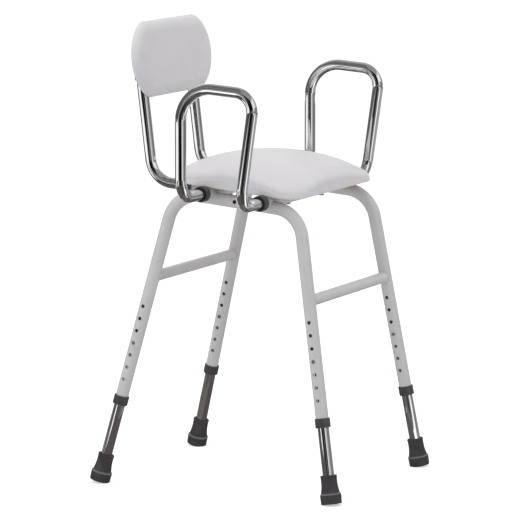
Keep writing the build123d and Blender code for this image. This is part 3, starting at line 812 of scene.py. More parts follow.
# %% Back tubes
back_insert, back_run, back_bend, back_tube_rise = 50.0 * mm, 217.0 * mm, 50.0 * mm, 250.0 * mm
back_lean, back_pad_rise = radians(6.85), 240.4 * mm
back_screw_drop, back_screw_spacing = 19.0 * mm, 32.0 * mm
upright = Vector((0, sin(back_lean), cos(back_lean)))
pad_forward = x_axis.cross(upright)
pad_middle = on_seat(0, back_run, back_socket_rise) + upright * back_pad_rise
screw_drops = (-back_screw_drop - back_screw_spacing / 2, -back_screw_drop + back_screw_spacing / 2)
for side, turn in sides.items():
    x = turn * back_half_span
    foot = on_seat(x, back_socket_mouth + socket_lip - back_insert, back_socket_rise)
    corner = on_seat(x, back_run, back_socket_rise)
    holes = [(pad_middle + x_axis * x + upright * drop, pad_forward, screw_r + slip, through)
             for drop in screw_drops]
    mesh = make_tube(f"back_upright_{side}", [foot, corner, corner + upright * back_tube_rise], [back_bend],
                     plated_r, plated_wall, chrome, holes, around=96)
    piece(f"back_upright_{side}", mesh, "back", replaces=[f"back_tube_{side}"])
print("pad faces", [round(c, 3) for c in pad_forward])

# %% [markdown]
# ## Turned pieces
# Collars, rubber feet, buttons and screw heads are all round, so each is drawn as half its section and
# carried round an axis. The section's corners are rounded first, because moulded rubber and plastic have no
# sharp edges, and it is the small round that catches the light.

# %% Helpers for turned pieces
under_half = 0.49


def soften(section, steps=4):
    """Rounds a closed section. A corner is (radius, distance), or (radius, distance, rounding)."""
    spots = [Vector(corner[:2]) for corner in section]
    points = []
    for i, (corner, spot) in enumerate(zip(section, spots)):
        if len(corner) == 2:
            points.append(spot)
            continue
        back, on = spots[i - 1] - spot, spots[(i + 1) % len(spots)] - spot
        reach = min(corner[2] / tan(back.angle(on) / 2), back.length * under_half, on.length * under_half)
        start, end = spot + back.normalized() * reach, spot + on.normalized() * reach
        for step in range(steps + 1):
            t = step / steps
            points.append(start * (1 - t) ** 2 + spot * 2 * t * (1 - t) + end * t**2)
    return points


def turned(name, section, origin, axis, around=72):
    """A closed section of (radius, distance along the axis) carried once round the axis."""
    axis = Vector(axis).normalized()
    square = axis.orthogonal().normalized()
    other = axis.cross(square)
    angles = [2 * pi * step / around for step in range(around)]
    solid = bmesh.new()
    rings = []
    for radius, reach in section:
        middle = Vector(origin) + axis * reach
        spokes = [square * cos(a) + other * sin(a) for a in angles] if radius > 1e-7 else [Vector()]
        rings.append([solid.verts.new(middle + spoke * radius) for spoke in spokes])
    for low, high in zip(rings, rings[1:] + rings[:1]):
        for step in range(around):
            following = (step + 1) % around
            corners = dict.fromkeys([low[step % len(low)], low[following % len(low)],
                                     high[following % len(high)], high[step % len(high)]])
            if len(corners) > 2:
                solid.faces.new([*corners])
    bmesh.ops.recalc_face_normals(solid, faces=solid.faces)
    return smooth(edited(name, solid), 40)


# %% [markdown]
# ## Collars
# Every open tube end carries a moulded collar: a sleeve round the outside of the tube, and a lip with a
# flared mouth that leads the inner tube in. A shallow groove marks where the sleeve ends and the lip begins.

# %% Collars
frame_bore_r, mouth_land, mouth_flare = frame_tube_r - frame_wall, 1.2 * mm, 2.8 * mm


def collar_section(outer_r, sleeve, lip, flare):
    """Half section of a collar; the tube's end is at distance 0."""
    groove_at, groove = lip * -0.35, 0.35 * mm
    return soften([
        (frame_tube_r, -sleeve), (outer_r, -sleeve, 1.1 * mm),
        (outer_r, groove_at - groove), (outer_r - groove, groove_at), (outer_r, groove_at + groove),
        (outer_r, lip, 1.0 * mm), (frame_bore_r + flare, lip, 0.5 * mm), (frame_bore_r, mouth_land, 0.8 * mm),
        (frame_bore_r, 0), (frame_tube_r, 0),
    ])


# Each collar's place and direction, then its outer radius, sleeve and lip in millimetres.
collar_plan, socket_collar = {}, (15.5, 13.5, 3.5)
for side, end in legs:
    collar_plan[f"leg_collar_{end}_{side}"] = (
        leg_point(side, end, mouth_distance(end)), leg_direction(side, end), (15.0, 15.0, 3.4))
    collar_plan[f"arm_collar_{end}_{side}"] = (
        on_seat(sides[side] * socket_end, socket_at[end], socket_rise), x_axis * sides[side], socket_collar)
for side, turn in sides.items():
    collar_plan[f"back_collar_{side}"] = (
        on_seat(turn * back_half_span, back_socket_mouth, back_socket_rise), along, socket_collar)
for name, (place, forward, sizes) in collar_plan.items():
    section = collar_section(*[size * mm for size in sizes], mouth_flare)
    mesh = turned(name, section, place, forward)
    piece("mouth_" + name, mesh, "frame", collar_plastic, [name])
print("collars:", len(collar_plan))

# %% [markdown]
# ## Rubber feet
# A foot is a thick rubber boot: a wide tread ring, a small step, and a hollow flare up to a neck that grips
# the leg. The leg leans, so the tread's low side is worn flat where it meets the floor. The flat is made by
# slicing the turned shape at floor level and closing the cut. The ledge on top of the ring gets a painted
# highlight, a paler tone where light would catch it. A mesh can carry such a mark itself, so each point gets
# a number that says how much of the painted highlight it takes, and the rubber's tones are mixed by that
# number.

# %% Feet
foot_length, foot_base_r, foot_ring_height, foot_ring_draft = 56.0 * mm, 21.0 * mm, 19.5 * mm, 0.1 * mm
foot_neck_r, foot_step, foot_flare_height, foot_band = 15.8 * mm, 1.7 * mm, 44.0 * mm, 0.5 * mm
ledge_height, ledge_fall, band_height, band_slope, flare_steps = 2.2 * mm, 0.2 * mm, 3 * mm, 1 * mm, 8
tread_groove, tread_rings = 1.6 * mm, (5.5 * mm, 10.0 * mm)


def foot_section():
    """Half section of a foot, with the tread at distance 0 and the neck at negative distances."""
    tread = [(0, 0)]
    for ring in tread_rings:
        outer = ring + tread_groove
        tread += [(ring, 0), (ring, -tread_groove), (outer, -tread_groove), (outer, 0)]
    step_r, band_r = foot_base_r - foot_step, foot_neck_r + foot_band
    flare = []
    for t in [step / flare_steps for step in range(1, flare_steps)]:
        height = foot_ring_height + (foot_flare_height - foot_ring_height) * t
        flare.append((foot_neck_r + (step_r - foot_neck_r) * (1 - t) ** 2, -height))
    return soften([
        *tread, (foot_tread_r, 0, 1.6 * mm), (foot_base_r - foot_ring_draft, ledge_height - foot_ring_height),
        (foot_base_r, -foot_ring_height, 1.5 * mm), (step_r, -foot_ring_height - ledge_fall, 0.9 * mm),
        *flare, (foot_neck_r, -foot_flare_height), (foot_neck_r, band_height + band_slope - foot_length),
        (band_r, band_height - foot_length), (band_r, -foot_length, 0.8 * mm),
        (plated_r, -foot_length, 0.6 * mm), (plated_r, -foot_sole), (0, -foot_sole),
    ])


def cut_off(solid, place, facing):
    """Removes what a closed shape has in front of a plane, and closes the cut."""
    bmesh.ops.bisect_plane(solid, geom=[*solid.verts, *solid.edges, *solid.faces], plane_co=place,
                           plane_no=facing, clear_outer=True)
    bmesh.ops.holes_fill(solid, edges=[edge for edge in solid.edges if edge.is_boundary], sides=0)


def worn_flat(name, mesh):
    """The same foot, level with the floor."""
    solid = bmesh.new()
    solid.from_mesh(mesh)
    cut_off(solid, (0, 0, 0), (0, 0, -1))
    bmesh.ops.recalc_face_normals(solid, faces=solid.faces)
    return smooth(edited(name, solid), 38)


print("foot section:", len(foot_section()), "points")

# %% Painted highlight on the ledges
# The paler tone is a painted highlight where light catches the ledge on top of each foot's tread ring.
ledge_highlight_tone = (0.19, 0.185, 0.19)
highlight_below, highlight_rise, highlight_above, highlight_fall = 1.2 * mm, 0.7 * mm, 1.5 * mm, 1.1 * mm


def paint_ledge_highlight(mesh, tread, down):
    """Writes how much painted highlight each point takes: fully on the ledge of the tread ring, and not at
    all elsewhere.
    """
    ledge_highlight = mesh.attributes.new("ledge_highlight", "FLOAT", "POINT")
    for vert in mesh.vertices:
        over = (tread - vert.co).dot(down) - foot_ring_height
        share = min(1.0, (over + highlight_below) / highlight_rise, (highlight_above - over) / highlight_fall)
        ledge_highlight.data[vert.index].value = max(0.0, share)


# The rubber's tones are mixed towards the painted highlight tone by each point's share.
ledge_highlight = add(tyre_rubber.node_tree, "ShaderNodeAttribute", attribute_name="ledge_highlight")
ledge_highlight_mix = add(tyre_rubber.node_tree, "ShaderNodeMix", data_type="RGBA", B=(*ledge_highlight_tone, 1))
recolour(tyre_rubber, ledge_highlight_mix, ledge_highlight, "Fac", "Factor")
for side, end in legs:
    name, down = f"rubber_foot_{end}_{side}", leg_direction(side, end)
    tread = leg_point(side, end, tread_distance(end))
    mesh = worn_flat(name, turned(name, foot_section(), tread, down, around=96))
    paint_ledge_highlight(mesh, tread, down)
    made = piece(name, mesh, f"leg_{end}_{side}", tyre_rubber, [f"foot_{end}_{side}"])
    print(made.name, "lowest", round(min(v.co.z for v in mesh.vertices), 5))

# %% [markdown]
# ## Snap buttons
# Each leg is held by a pair of domed steel buttons on a bent spring strip. The buttons are turned like the
# feet, with a flange that keeps them in the tube.

# %% Buttons
plated_bore_r = plated_r - plated_wall
button_flange_r, button_flange, button_stand, button_dome = 4.5 * mm, 0.8 * mm, 1.8 * mm, 2.6 * mm
flange_top = sqrt(plated_bore_r**2 - button_flange_r**2) - slip
stem = frame_tube_r + button_stand - flange_top
section = soften([
    (0, -button_flange), (button_flange_r, -button_flange, 0.2 * mm), (button_flange_r, 0, 0.2 * mm),
    (button_r, 0), (button_r, stem, button_dome), (0, stem),
], steps=8)
for side, end in legs:
    button_at = leg_point(side, end, hole_distance(end, rest_hole))
    for face, facing in (("outer", frame_square(side)), ("inner", -frame_square(side))):
        node = f"button_{face}_{end}_{side}"
        mesh = turned(node, section, button_at + facing * flange_top, facing, around=48)
        piece("snap_" + node, mesh, node, zinc, [node])
print("buttons:", 2 * len(legs), "standing", round((stem + flange_top - frame_tube_r) / mm, 2), "mm proud")

# %% [markdown]
# ## Carried-over small parts
# The washers inside the feet, the tee nuts, the plugs and the two plywood boards already have their final
# shape in the CAD model. A CAD mesh arrives as loose triangles, so a copy is welded together before it is
# shaded smooth.

# %% Welded copies of CAD nodes


def welded_mesh(node, name, bevel):
    """A smooth mesh made from a CAD node's own loose triangles."""
    solid = bmesh.new()
    solid.from_mesh(nodes[node].data)
    bmesh.ops.remove_doubles(solid, verts=solid.verts, dist=1e-6)
    bmesh.ops.dissolve_limit(solid, angle_limit=radians(1), verts=solid.verts, edges=solid.edges)
    obj = place_object(name + "_rough", edited(name, solid))
    if bevel:
        rounding = obj.modifiers.new("edges", "BEVEL")
        rounding.width, rounding.segments = bevel, 2
        rounding.limit_method, rounding.angle_limit = "ANGLE", radians(40)
    return bake(obj)


# Each piece's node, name, material, slot and bevel in millimetres.
carried_over = [(f"foot_washer_{end}_{side}", f"sole_washer_{end}_{side}", zinc, "zinc", 0.2)
                for side, end in legs]
carried_over += [
    ("seat_tee_nuts", "tee_nuts", zinc, "zinc", 0.15),
    ("back_tube_caps", "upright_plugs", cap_plastic, "cap_plastic", 0),
    ("seat_board", "seat_plywood", plywood, "board", 0.4),
    ("back_board", "back_plywood", plywood, "board", 0.4),
]
for node, name, material, slot, bevel in carried_over:
    piece(name, welded_mesh(node, name, bevel * mm), body_of[node], material, [node])
print("carried over:", len(carried_over))

# %% [markdown]
# ## Spring strips
# The strip inside each leg is bent like a hairpin, and each of its two arms carries a button. Press the
# button and that arm gives, while the bow at the bottom stays where it is. So the strip is cut through the
# middle of its bow into two halves, one for each button.

# %% Spring strips
clip_length, strip_bevel = 42.0 * mm, 0.08 * mm


def middle_of(node):
    points = [vert.co for vert in nodes[node].data.vertices]
    return sum(points, Vector()) / len(points)


for side, end in legs:
    strip, down = f"button_spring_{end}_{side}", leg_direction(side, end)
    buttons = {face: f"button_{face}_{end}_{side}" for face in ("outer", "inner")}
    tops = {face: middle_of(button) for face, button in buttons.items()}
    centre, across = (tops["outer"] + tops["inner"]) / 2, (tops["outer"] - tops["inner"]).normalized()
    for face, button in buttons.items():
        name = f"spring_arm_{face}_{end}_{side}"
        half = bmesh.new()
        half.from_mesh(welded_mesh(strip, name, strip_bevel))
        cut_off(half, centre, -across if face == "outer" else across)
        mesh = edited(name, half)
        mesh.materials.append(spring_steel)
        arm = place_object(name, mesh)
        top = tops[face]
        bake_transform(arm)
        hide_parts(strip)
print("spring arms:", 2 * len(legs))

# %% [markdown]
# ## Fasteners in rows
# One fastener is drawn, and a tree puts a copy on every point. It points each copy the right way, lines it up
# with its heading, and gives it its own chance turn, as a screwdriver or a staple gun leaves them. The seed
# is fixed, so the turns never change.

# %% Fastener recipe
fastener_rows, given, result = new_recipe("fastener_rows", [
    ("Fastener", "NodeSocketObject", None),
    ("Turn Seed", "NodeSocketInt", 7),
    ("Turn Spread", "NodeSocketFloat", 2 * pi),
    ("Finish", "NodeSocketMaterial", None),
])
master = add(fastener_rows, "GeometryNodeObjectInfo")
facing = stored(fastener_rows, "facing")
heading = stored(fastener_rows, "heading")
pointed = add(fastener_rows, "FunctionNodeAlignRotationToVector", axis="Z")
lined_up = add(fastener_rows, "FunctionNodeAlignRotationToVector", axis="X", pivot_axis="Z")
chance = add(fastener_rows, "FunctionNodeRandomValue", data_type="FLOAT")
own_turn = add(fastener_rows, "ShaderNodeCombineXYZ")
spun = add(fastener_rows, "FunctionNodeRotateRotation", rotation_space="LOCAL")
copies = add(fastener_rows, "GeometryNodeInstanceOnPoints")
link(
    fastener_rows,
    (given, "Fastener", master, "Object"),
    (facing, "Attribute", pointed, "Vector"),
    (pointed, "Rotation", lined_up, "Rotation"),
    (heading, "Attribute", lined_up, "Vector"),
    (given, "Turn Seed", chance, "Seed"),
    (given, "Turn Spread", chance, 3),
    (chance, 1, own_turn, "Z"),
    (lined_up, "Rotation", spun, "Rotation"),
    (own_turn, "Vector", spun, "Rotate By"),
    (given, "Geometry", copies, "Points"),
    (master, "Geometry", copies, "Instance"),
    (spun, "Rotation", copies, "Rotation"),
)
close_recipe(fastener_rows, given, result, copies, "Instances")
print("fastener nodes:", len(fastener_rows.nodes))


def fasten(name, master_mesh, rows, paint, **values):
    """Copies of one fastener; a row is (place, facing, heading). Returns the mesh."""
    one = place_object(name + "_one", master_mesh)
    obj = scratch(name, [place for place, *_ in rows], attributes={
        "facing": ("FLOAT_VECTOR", [tuple(facing) for _, facing, _ in rows]),
        "heading": ("FLOAT_VECTOR", [tuple(heading) for *_, heading in rows]),
    })
    apply_recipe(obj, fastener_rows, Fastener=one, Finish=paint, **values)
    mesh = bake(obj)
    bpy.data.objects.remove(one)
    return mesh


# %% Screws
screw_head_r, screw_head, board_thickness, screw_end_gap = 6.0 * mm, 2.6 * mm, 9.0 * mm, 1.5 * mm
screw_point, screw_taper, recess_size = 1 * mm, 0.8 * mm, (5.6 * mm, 1.1 * mm, 3.0 * mm)
board_bottom = socket_rise + frame_tube_r


def screw_mesh(name, length):
    """A screw with its head's underside at the origin, the head towards +Z and the shank towards -Z."""
    section = soften([
        (0, screw_head), (screw_head_r, screw_head, 2.0 * mm), (screw_head_r, 0, 0.3 * mm), (screw_r, 0),
        (screw_r, screw_point - length), (screw_r - screw_taper, -length), (0, -length),
    ], steps=6)
    obj = place_object(name, turned(name, section, (0, 0, 0), (0, 0, 1), around=40))
    blades = []
    for angle in (0, pi / 2):
        slot = bmesh.new()
        bmesh.ops.create_cube(slot, size=1.0)
        bmesh.ops.scale(slot, vec=recess_size, verts=slot.verts)
        bmesh.ops.rotate(slot, matrix=Matrix.Rotation(angle, 3, "Z"), verts=slot.verts)
        bmesh.ops.translate(slot, vec=(0, 0, screw_head), verts=slot.verts)
        blades.append(place_object(name + "_blade", edited(name + "_blade", slot)))
        recess = obj.modifiers.new("recess", "BOOLEAN")
        recess.operation, recess.solver, recess.object = "DIFFERENCE", "EXACT", blades[-1]
    mesh = bake(obj)
    for blade in blades:
        bpy.data.objects.remove(blade)
    return mesh


def drive_screws(name, node, body, places, facing, length):
    rows = [(place, facing, x_axis) for place in places]
    mesh = fasten(name, screw_mesh(name + "_master", length), rows, zinc)
    piece(name, mesh, body, replaces=[node])
    print(name, len(places))


seat_places = [on_seat(turn * seat_screw_x, place, socket_rise - frame_tube_r)
               for turn in sides.values() for place in socket_at.values()]
drive_screws("seat_fixing_screws", "seat_screws", "frame", seat_places, -above,
             frame_tube_r * 2 + board_thickness - screw_end_gap)
back_places = [pad_middle + x_axis * turn * back_half_span + upright * drop - pad_forward * plated_r
               for turn in sides.values() for drop in screw_drops]
drive_screws("back_fixing_screws", "back_screws", "back", back_places, -pad_forward,
             plated_r * 2 + board_thickness - screw_end_gap)

# %% [markdown]
# ## Welds
# Every joint between the painted tubes is a fillet weld that follows the saddle where two round tubes meet.
# The saddle is worked out from the two tubes, and a tree carries a small bead along it, with the ripples of
# the welding arc and a little unevenness from a fixed seed.

# %% Weld recipe
weld_bead, given, result = new_recipe("weld_bead", [
    ("Bead Radius", "NodeSocketFloat", 1.7 * mm),
    ("Ripple Pitch", "NodeSocketFloat", 1.5 * mm),
    ("Ripple Depth", "NodeSocketFloat", 0.10),
    ("Seed", "NodeSocketFloat", 5.0),
    ("Finish", "NodeSocketMaterial", None),
])
seam = add(weld_bead, "GeometryNodeMeshToCurve")
even = add(weld_bead, "GeometryNodeResampleCurve", mode="LENGTH", Length=0.5 * mm)
spot = add(weld_bead, "GeometryNodeSplineParameter")
ripples = add(weld_bead, "ShaderNodeMath", operation="DIVIDE")
phase = add(weld_bead, "ShaderNodeMath", operation="MULTIPLY", Value=2 * pi)
wave = add(weld_bead, "ShaderNodeMath", operation="SINE")
swell = add(weld_bead, "ShaderNodeMath", operation="MULTIPLY")
wander = add(weld_bead, "ShaderNodeTexNoise", noise_dimensions="4D", Scale=220.0, Detail=1.0)
fatness = add(weld_bead, "ShaderNodeMath", operation="ADD")
width = add(weld_bead, "ShaderNodeMath", operation="ADD", Value=0.5)
thick = add(weld_bead, "GeometryNodeSetCurveRadius")
section = add(weld_bead, "GeometryNodeCurvePrimitiveCircle", Resolution=10)
skin = add(weld_bead, "GeometryNodeCurveToMesh")
link(
    weld_bead,
    (given, "Geometry", seam, "Mesh"),
    (seam, "Curve", even, "Curve"),
    (spot, "Length", ripples, 0),
    (given, "Ripple Pitch", ripples, 1),
    (ripples, "Value", phase, 1),
    (phase, "Value", wave, 0),
    (wave, "Value", swell, 0),
    (given, "Ripple Depth", swell, 1),
    (given, "Seed", wander, "W"),
    (swell, "Value", fatness, 0),
    (wander, "Fac", fatness, 1),
    (fatness, "Value", width, 1),
    (even, "Curve", thick, "Curve"),
    (width, "Value", thick, "Radius"),
    (width, "Value", skin, "Scale"),
    (given, "Bead Radius", section, "Radius"),
    (thick, "Curve", skin, "Curve"),
    (section, "Curve", skin, "Profile Curve"),
)
close_recipe(weld_bead, given, result, skin, "Mesh")
print("weld nodes:", len(weld_bead.nodes))

# %% Where two tubes meet


def meeting(place, axis, radius, other_place, other_axis, other_radius, near, tangle=0.0, steps=180):
    """Where one tube's skin meets another's: a run of points round the first tube, and whether it closes.
    near is -1 for the first meeting along the axis and 1 for the second. tangle leaves off the ends of an
    open run, where the two skins only graze."""
    square = axis.orthogonal().normalized()
    across, flat = axis.cross(square), axis - other_axis * axis.dot(other_axis)
    points = []
    for step in range(steps):
        angle = 2 * pi * step / steps
        start = place + (square * cos(angle) + across * sin(angle)) * radius
        gap = start - other_place
        gap -= other_axis * gap.dot(other_axis)
        a, b, c = flat.length_squared, gap.dot(flat), gap.length_squared - other_radius**2
        meets = b * b > a * (c + tangle**2)
        points.append(start + axis * ((near * sqrt(b * b - a * c) - b) / a) if meets else None)
    if None not in points:
        return points, True
    first = next(i for i in range(steps) if points[i - 1] is None and points[i] is not None)
    points = points[first:] + points[:first]
    return points[:points.index(None)], False


# %% Welds
seams, stub_graze = [], 5 * mm
for end, tips in bar_ends.items():
    middle = (tips[0] + tips[1]) / 2
    for side, tip in zip(sides, tips):
        bar = (middle, (tip - middle).normalized(), crossbar_r)
        seams.append(meeting(*bar, tip, leg_direction(side, end), frame_tube_r, -1))
for side, turn in sides.items():
    for end in ends:
        crossing = (on_seat(turn * rail_half_width, socket_at[end], socket_rise), x_axis, frame_tube_r,
                    on_seat(turn * rail_half_width, 0, 0), along, frame_tube_r)
        inner, outer = meeting(*crossing, -1)[0], meeting(*crossing, 1)[0]
        seams.append((inner + outer[::-1], True))
    stub = (on_seat(turn * back_half_span, rear_socket_at, back_socket_rise), along, frame_tube_r)
    seams.append(meeting(*stub, on_seat(0, rear_socket_at, socket_rise), x_axis, frame_tube_r, 1, stub_graze))
verts, edges = [], []
for points, closed in seams:
    start, count = len(verts), len(points)
    verts += points
    edges += [(start + i, start + (i + 1) % count) for i in range(count if closed else count - 1)]
beads = scratch("weld_beads", verts, edges)
apply_recipe(beads, weld_bead, Finish=powder_coat)
mesh = bake(beads, 60)
piece("weld_beads", mesh, "frame")
print("welds:", len(seams), "seams,", len(mesh.polygons), "faces")

# %% [markdown]
# ## Pads
# A pad starts as a net of rings that follow its outline: over the top, round the shoulder, down the side,
# round the rim and up into the recess that holds the board. The net is evenly spaced, so it can be blown up
# with Cloth like a cushion under pressure. The underside is pinned, the swelling is capped, and one
# subdivision makes it smooth.

# %% Outlines


def rounded_rectangle(half_width, low, high, low_corner, high_corner, steps=40):
    """A closed loop, anticlockwise from the low left corner, of points across and along the pad."""
    plan = [(1, low + low_corner, low_corner, -90), (1, high - high_corner, high_corner, 0),
            (-1, high - high_corner, high_corner, 90), (-1, low + low_corner, low_corner, 180)]
    loop = []
    for hand, y, radius, start in plan:
        for step in range(steps + 1):
            angle = radians(start + 90 * step / steps)
            loop.append(Vector((hand * (half_width - radius) + radius * cos(angle), y + radius * sin(angle))))
    return loop


def bow_ended(half_width, half_height, half_straight, steps=60):
    """A closed loop with straight long edges and bowed ends, anticlockwise."""
    bow = half_width - half_straight
    radius = (half_height**2 + bow**2) / (2 * bow)
    reach = atan(half_height / (radius - bow)) if radius > bow else pi / 2
    loop = []
    for turn in (1, -1):
        for step in range(steps + 1):
            angle = reach * (2 * step / steps - 1)
            loop.append(Vector((half_width - radius + radius * cos(angle), radius * sin(angle))) * turn)
    return loop


# %% Fine points round an outline
fine_count, normal_reach = 1600, 6


def fine_points(loop, spread):
    """Many evenly spaced points round a loop, each averaged over spread to round corners off."""
    pitch = sum((b - a).length for a, b in zip(loop, loop[1:] + loop[:1])) / fine_count
    fine, point, along_edge, i = [], loop[0].copy(), 0.0, 0
    for _ in range(fine_count):
        fine.append(point.copy())
        left = pitch
        while left > 1e-9:
            room = (loop[(i + 1) % len(loop)] - loop[i % len(loop)]).length - along_edge
            if room > left:
                along_edge += left
                left = 0.0
            else:
                left -= room
                i, along_edge = i + 1, 0.0
        edge = loop[(i + 1) % len(loop)] - loop[i % len(loop)]
        onward = edge.normalized() * along_edge if edge.length > 1e-9 else Vector((0, 0))
        point = loop[i % len(loop)] + onward
    reach = int(spread / pitch)
    if not reach:
        return fine
    window = range(-reach, reach + 1)
    return [sum((fine[(k + w) % fine_count] for w in window), Vector((0, 0))) / len(window)
            for k in range(fine_count)]


# %% Stations round an outline


def stations(loop, counts, spread=0.0):
    """Evenly spaced points round a loop with their outward normals, starting at the low left grid corner.
    counts are the segments along the low edge and along the side."""
    fine = fine_points(loop, spread)
    wide, deep = max(p.x for p in fine), max(abs(p.y) for p in fine)
    marks = [max(range(fine_count), key=lambda k: fine[k].x * hand / wide + fine[k].y * way / deep)
             for hand, way in ((-1, -1), (1, -1), (1, 1), (-1, 1))]
    points, normals = [], []
    for mark, following, count in zip(marks, marks[1:] + marks[:1], counts * 2):
        run = (following - mark) % fine_count
        for step in range(count):
            k = mark + run * step / count
            low, share = int(k) % fine_count, k - int(k)
            points.append(fine[low].lerp(fine[(low + 1) % fine_count], share))
            tangent = fine[(low + normal_reach) % fine_count] - fine[(low - normal_reach) % fine_count]
            normals.append(Vector((tangent.y, -tangent.x)).normalized())
    return points, normals


# %% The rings of a pad
shoulder_steps, side_steps, rim_steps, slope_step, crease = 8, 7, 3, 1 * mm, 0.5 * mm


def pad_rings(rim, crown, shoulder, depths):
    """A pad's skin as rings of (x, y, height), each with its share of pinning, from the top's edge to the
    recess. rim is (points, normals), crown gives the top's height, shoulder is (inwards, down), and depths
    are the rim's round, the recess's inset and the recess's height."""
    points, normals = rim
    inwards, down = shoulder
    rim_round, recess_inset, recess_height = depths

    def inset(distance):
        return [point - normal * distance for point, normal in zip(points, normals)]

    rings, centres = [], []
    for inner, step in zip(inset(inwards), inset(inwards - slope_step)):
        slope = max(0.0, (crown(*inner) - crown(*step)) / slope_step)
        lean = atan(slope * inwards / down)
        centres.append((lean, crown(*inner) - slope * inwards * sin(lean) - down * cos(lean)))
    for step in range(shoulder_steps + 1):
        ring = []
        for point, normal, (lean, centre) in zip(points, normals, centres):
            angle = lean + (pi / 2 - lean) * step / shoulder_steps
            ring.append((*(point - normal * (inwards - inwards * sin(angle))), centre + down * cos(angle)))
        rings.append((ring, 0.0))
    for share in [step / side_steps for step in range(1, side_steps + 1)]:
        ring = [(*point, centre + (rim_round - centre) * share)
                for point, (_, centre) in zip(points, centres)]
        rings.append((ring, share**2))
    levels = [(rim_round * (1 - cos(angle)), rim_round * (1 - sin(angle)))
              for angle in [pi / 2 * step / rim_steps for step in range(1, rim_steps + 1)]]
    levels += [((rim_round + recess_inset) / 2, 0.0), (recess_inset - crease, 0.0), (recess_inset, 0.0),
               (recess_inset, crease), (recess_inset, recess_height / 2), (recess_inset, recess_height)]
    return rings + [([(*spot, height) for spot in inset(distance)], 1.0) for distance, height in levels]


# %% The net of a pad


def fill_ring(solid, ring, spots, counts, lift):
    """Fills a ring with a grid that is blended from its four sides, and returns how many points it added."""
    across, forward = counts
    low, right = range(across + 1), range(across, across + forward + 1)
    high = [(across * 2 + forward - i) % len(ring) for i in range(across + 1)]
    left = [-j % len(ring) for j in range(forward + 1)]
    grid = {}
    for i in range(across + 1):
        grid[i, 0], grid[i, forward] = ring[low[i]], ring[high[i]]
    for j in range(forward + 1):
        grid[across, j], grid[0, j] = ring[right[j]], ring[left[j]]
    low, high, left, right = [[Vector(spots[k][:2]) for k in run] for run in (low, high, left, right)]
    for i in range(1, across):
        for j in range(1, forward):
            u, v = i / across, j / forward
            spot = (low[i] * (1 - v) + high[i] * v + left[j] * (1 - u) + right[j] * u
                    - low[0] * (1 - u) * (1 - v) - low[across] * u * (1 - v)
                    - high[0] * (1 - u) * v - high[across] * u * v)
            grid[i, j] = solid.verts.new(lift(*spot))
    for i in range(across):
        for j in range(forward):
            solid.faces.new((grid[i, j], grid[i + 1, j], grid[i + 1, j + 1], grid[i, j + 1]))
    return (across - 1) * (forward - 1)


def pad_net(name, rim, counts, crown, shoulder, depths, place):
    """A closed net: the rings, the top and the recess. place puts (x, y, height) in the frame. Returns the
    mesh and each point's share of pinning."""
    rings = pad_rings(rim, crown, shoulder, depths)
    solid, pins, made = bmesh.new(), [], []
    for ring, pin in rings:
        made.append([solid.verts.new(place(*spot)) for spot in ring])
        pins += [pin] * len(ring)
    for low, high in zip(made, made[1:]):
        for i in range(len(low)):
            following = (i + 1) % len(low)
            solid.faces.new((low[i], low[following], high[following], high[i]))
    pins += [0.0] * fill_ring(solid, made[0], rings[0][0], counts, lambda x, y: place(x, y, crown(x, y)))
    pins += [1.0] * fill_ring(solid, made[-1], rings[-1][0], counts, lambda x, y: place(x, y, depths[-1]))
    bmesh.ops.recalc_face_normals(solid, faces=solid.faces)
    return edited(name, solid), pins


# %% Blowing a pad up
pad_pressure, swell_frames = 4.0, 20


def blow_up(name, mesh, pins, cap):
    """Swells a net with Cloth, caps how far a point may move, and subdivides it once."""
    obj = place_object(name + "_net", mesh)
    group = obj.vertex_groups.new(name="pinned")
    for i, pin in enumerate(pins):
        group.add([i], pin, "REPLACE")
    cloth = obj.modifiers.new("cloth", "CLOTH")
    cloth.settings.quality = 6
    cloth.settings.mass = 0.25
    cloth.settings.vertex_group_mass = "pinned"
    cloth.settings.use_pressure = True
    cloth.settings.uniform_pressure_force = pad_pressure
    cloth.settings.effector_weights.gravity = 0.0
    cloth.point_cache.frame_end = swell_frames
    for frame_number in range(1, swell_frames + 1):
        bpy.context.scene.frame_set(frame_number)
    swollen = obj.evaluated_get(bpy.context.evaluated_depsgraph_get()).data
    moved = [after.co - before.co for before, after in zip(mesh.vertices, swollen.vertices)]
    bpy.context.scene.frame_set(1)
    obj.modifiers.clear()
    for vertex, move in zip(mesh.vertices, moved):
        vertex.co += move * min(1.0, cap / max(move.length, 1e-9))
    print(name, "swells by up to", round(max(move.length for move in moved) / mm, 1), "mm before the cap")
    rounder = obj.modifiers.new("rounder", "SUBSURF")
    rounder.levels = rounder.render_levels = 1
    return bake(obj, 180)


# %% [markdown]
# ## Seat pad
# The seat is wider than deep, with tighter corners in front and large ones behind. Its top is crowned both
# ways, much more from front to rear, and a soft shoulder of vinyl-covered foam rolls over to the side.

# %% Seat pad
seat_half_width, seat_front, seat_rear = 193.0 * mm, 136.0 * mm, 151.0 * mm
seat_front_corner, seat_rear_corner, seat_thickness = 42.0 * mm, 72.0 * mm, 57.0 * mm
side_crown_r, front_crown_r, crown_at = 866.0 * mm, 376.0 * mm, 4.0 * mm
seat_shoulder, soft_gap, board_inset = (20.0 * mm, 16.0 * mm), 0.3 * mm, 11.0 * mm
pad_bottom = board_bottom + soft_gap


def seat_crown(x, y):
    """Height of the seat's top over the pad's underside."""
    forward_r = side_crown_r - front_crown_r + sqrt(front_crown_r**2 - (y - crown_at) ** 2)
    return seat_thickness - side_crown_r + sqrt(forward_r**2 - x**2)


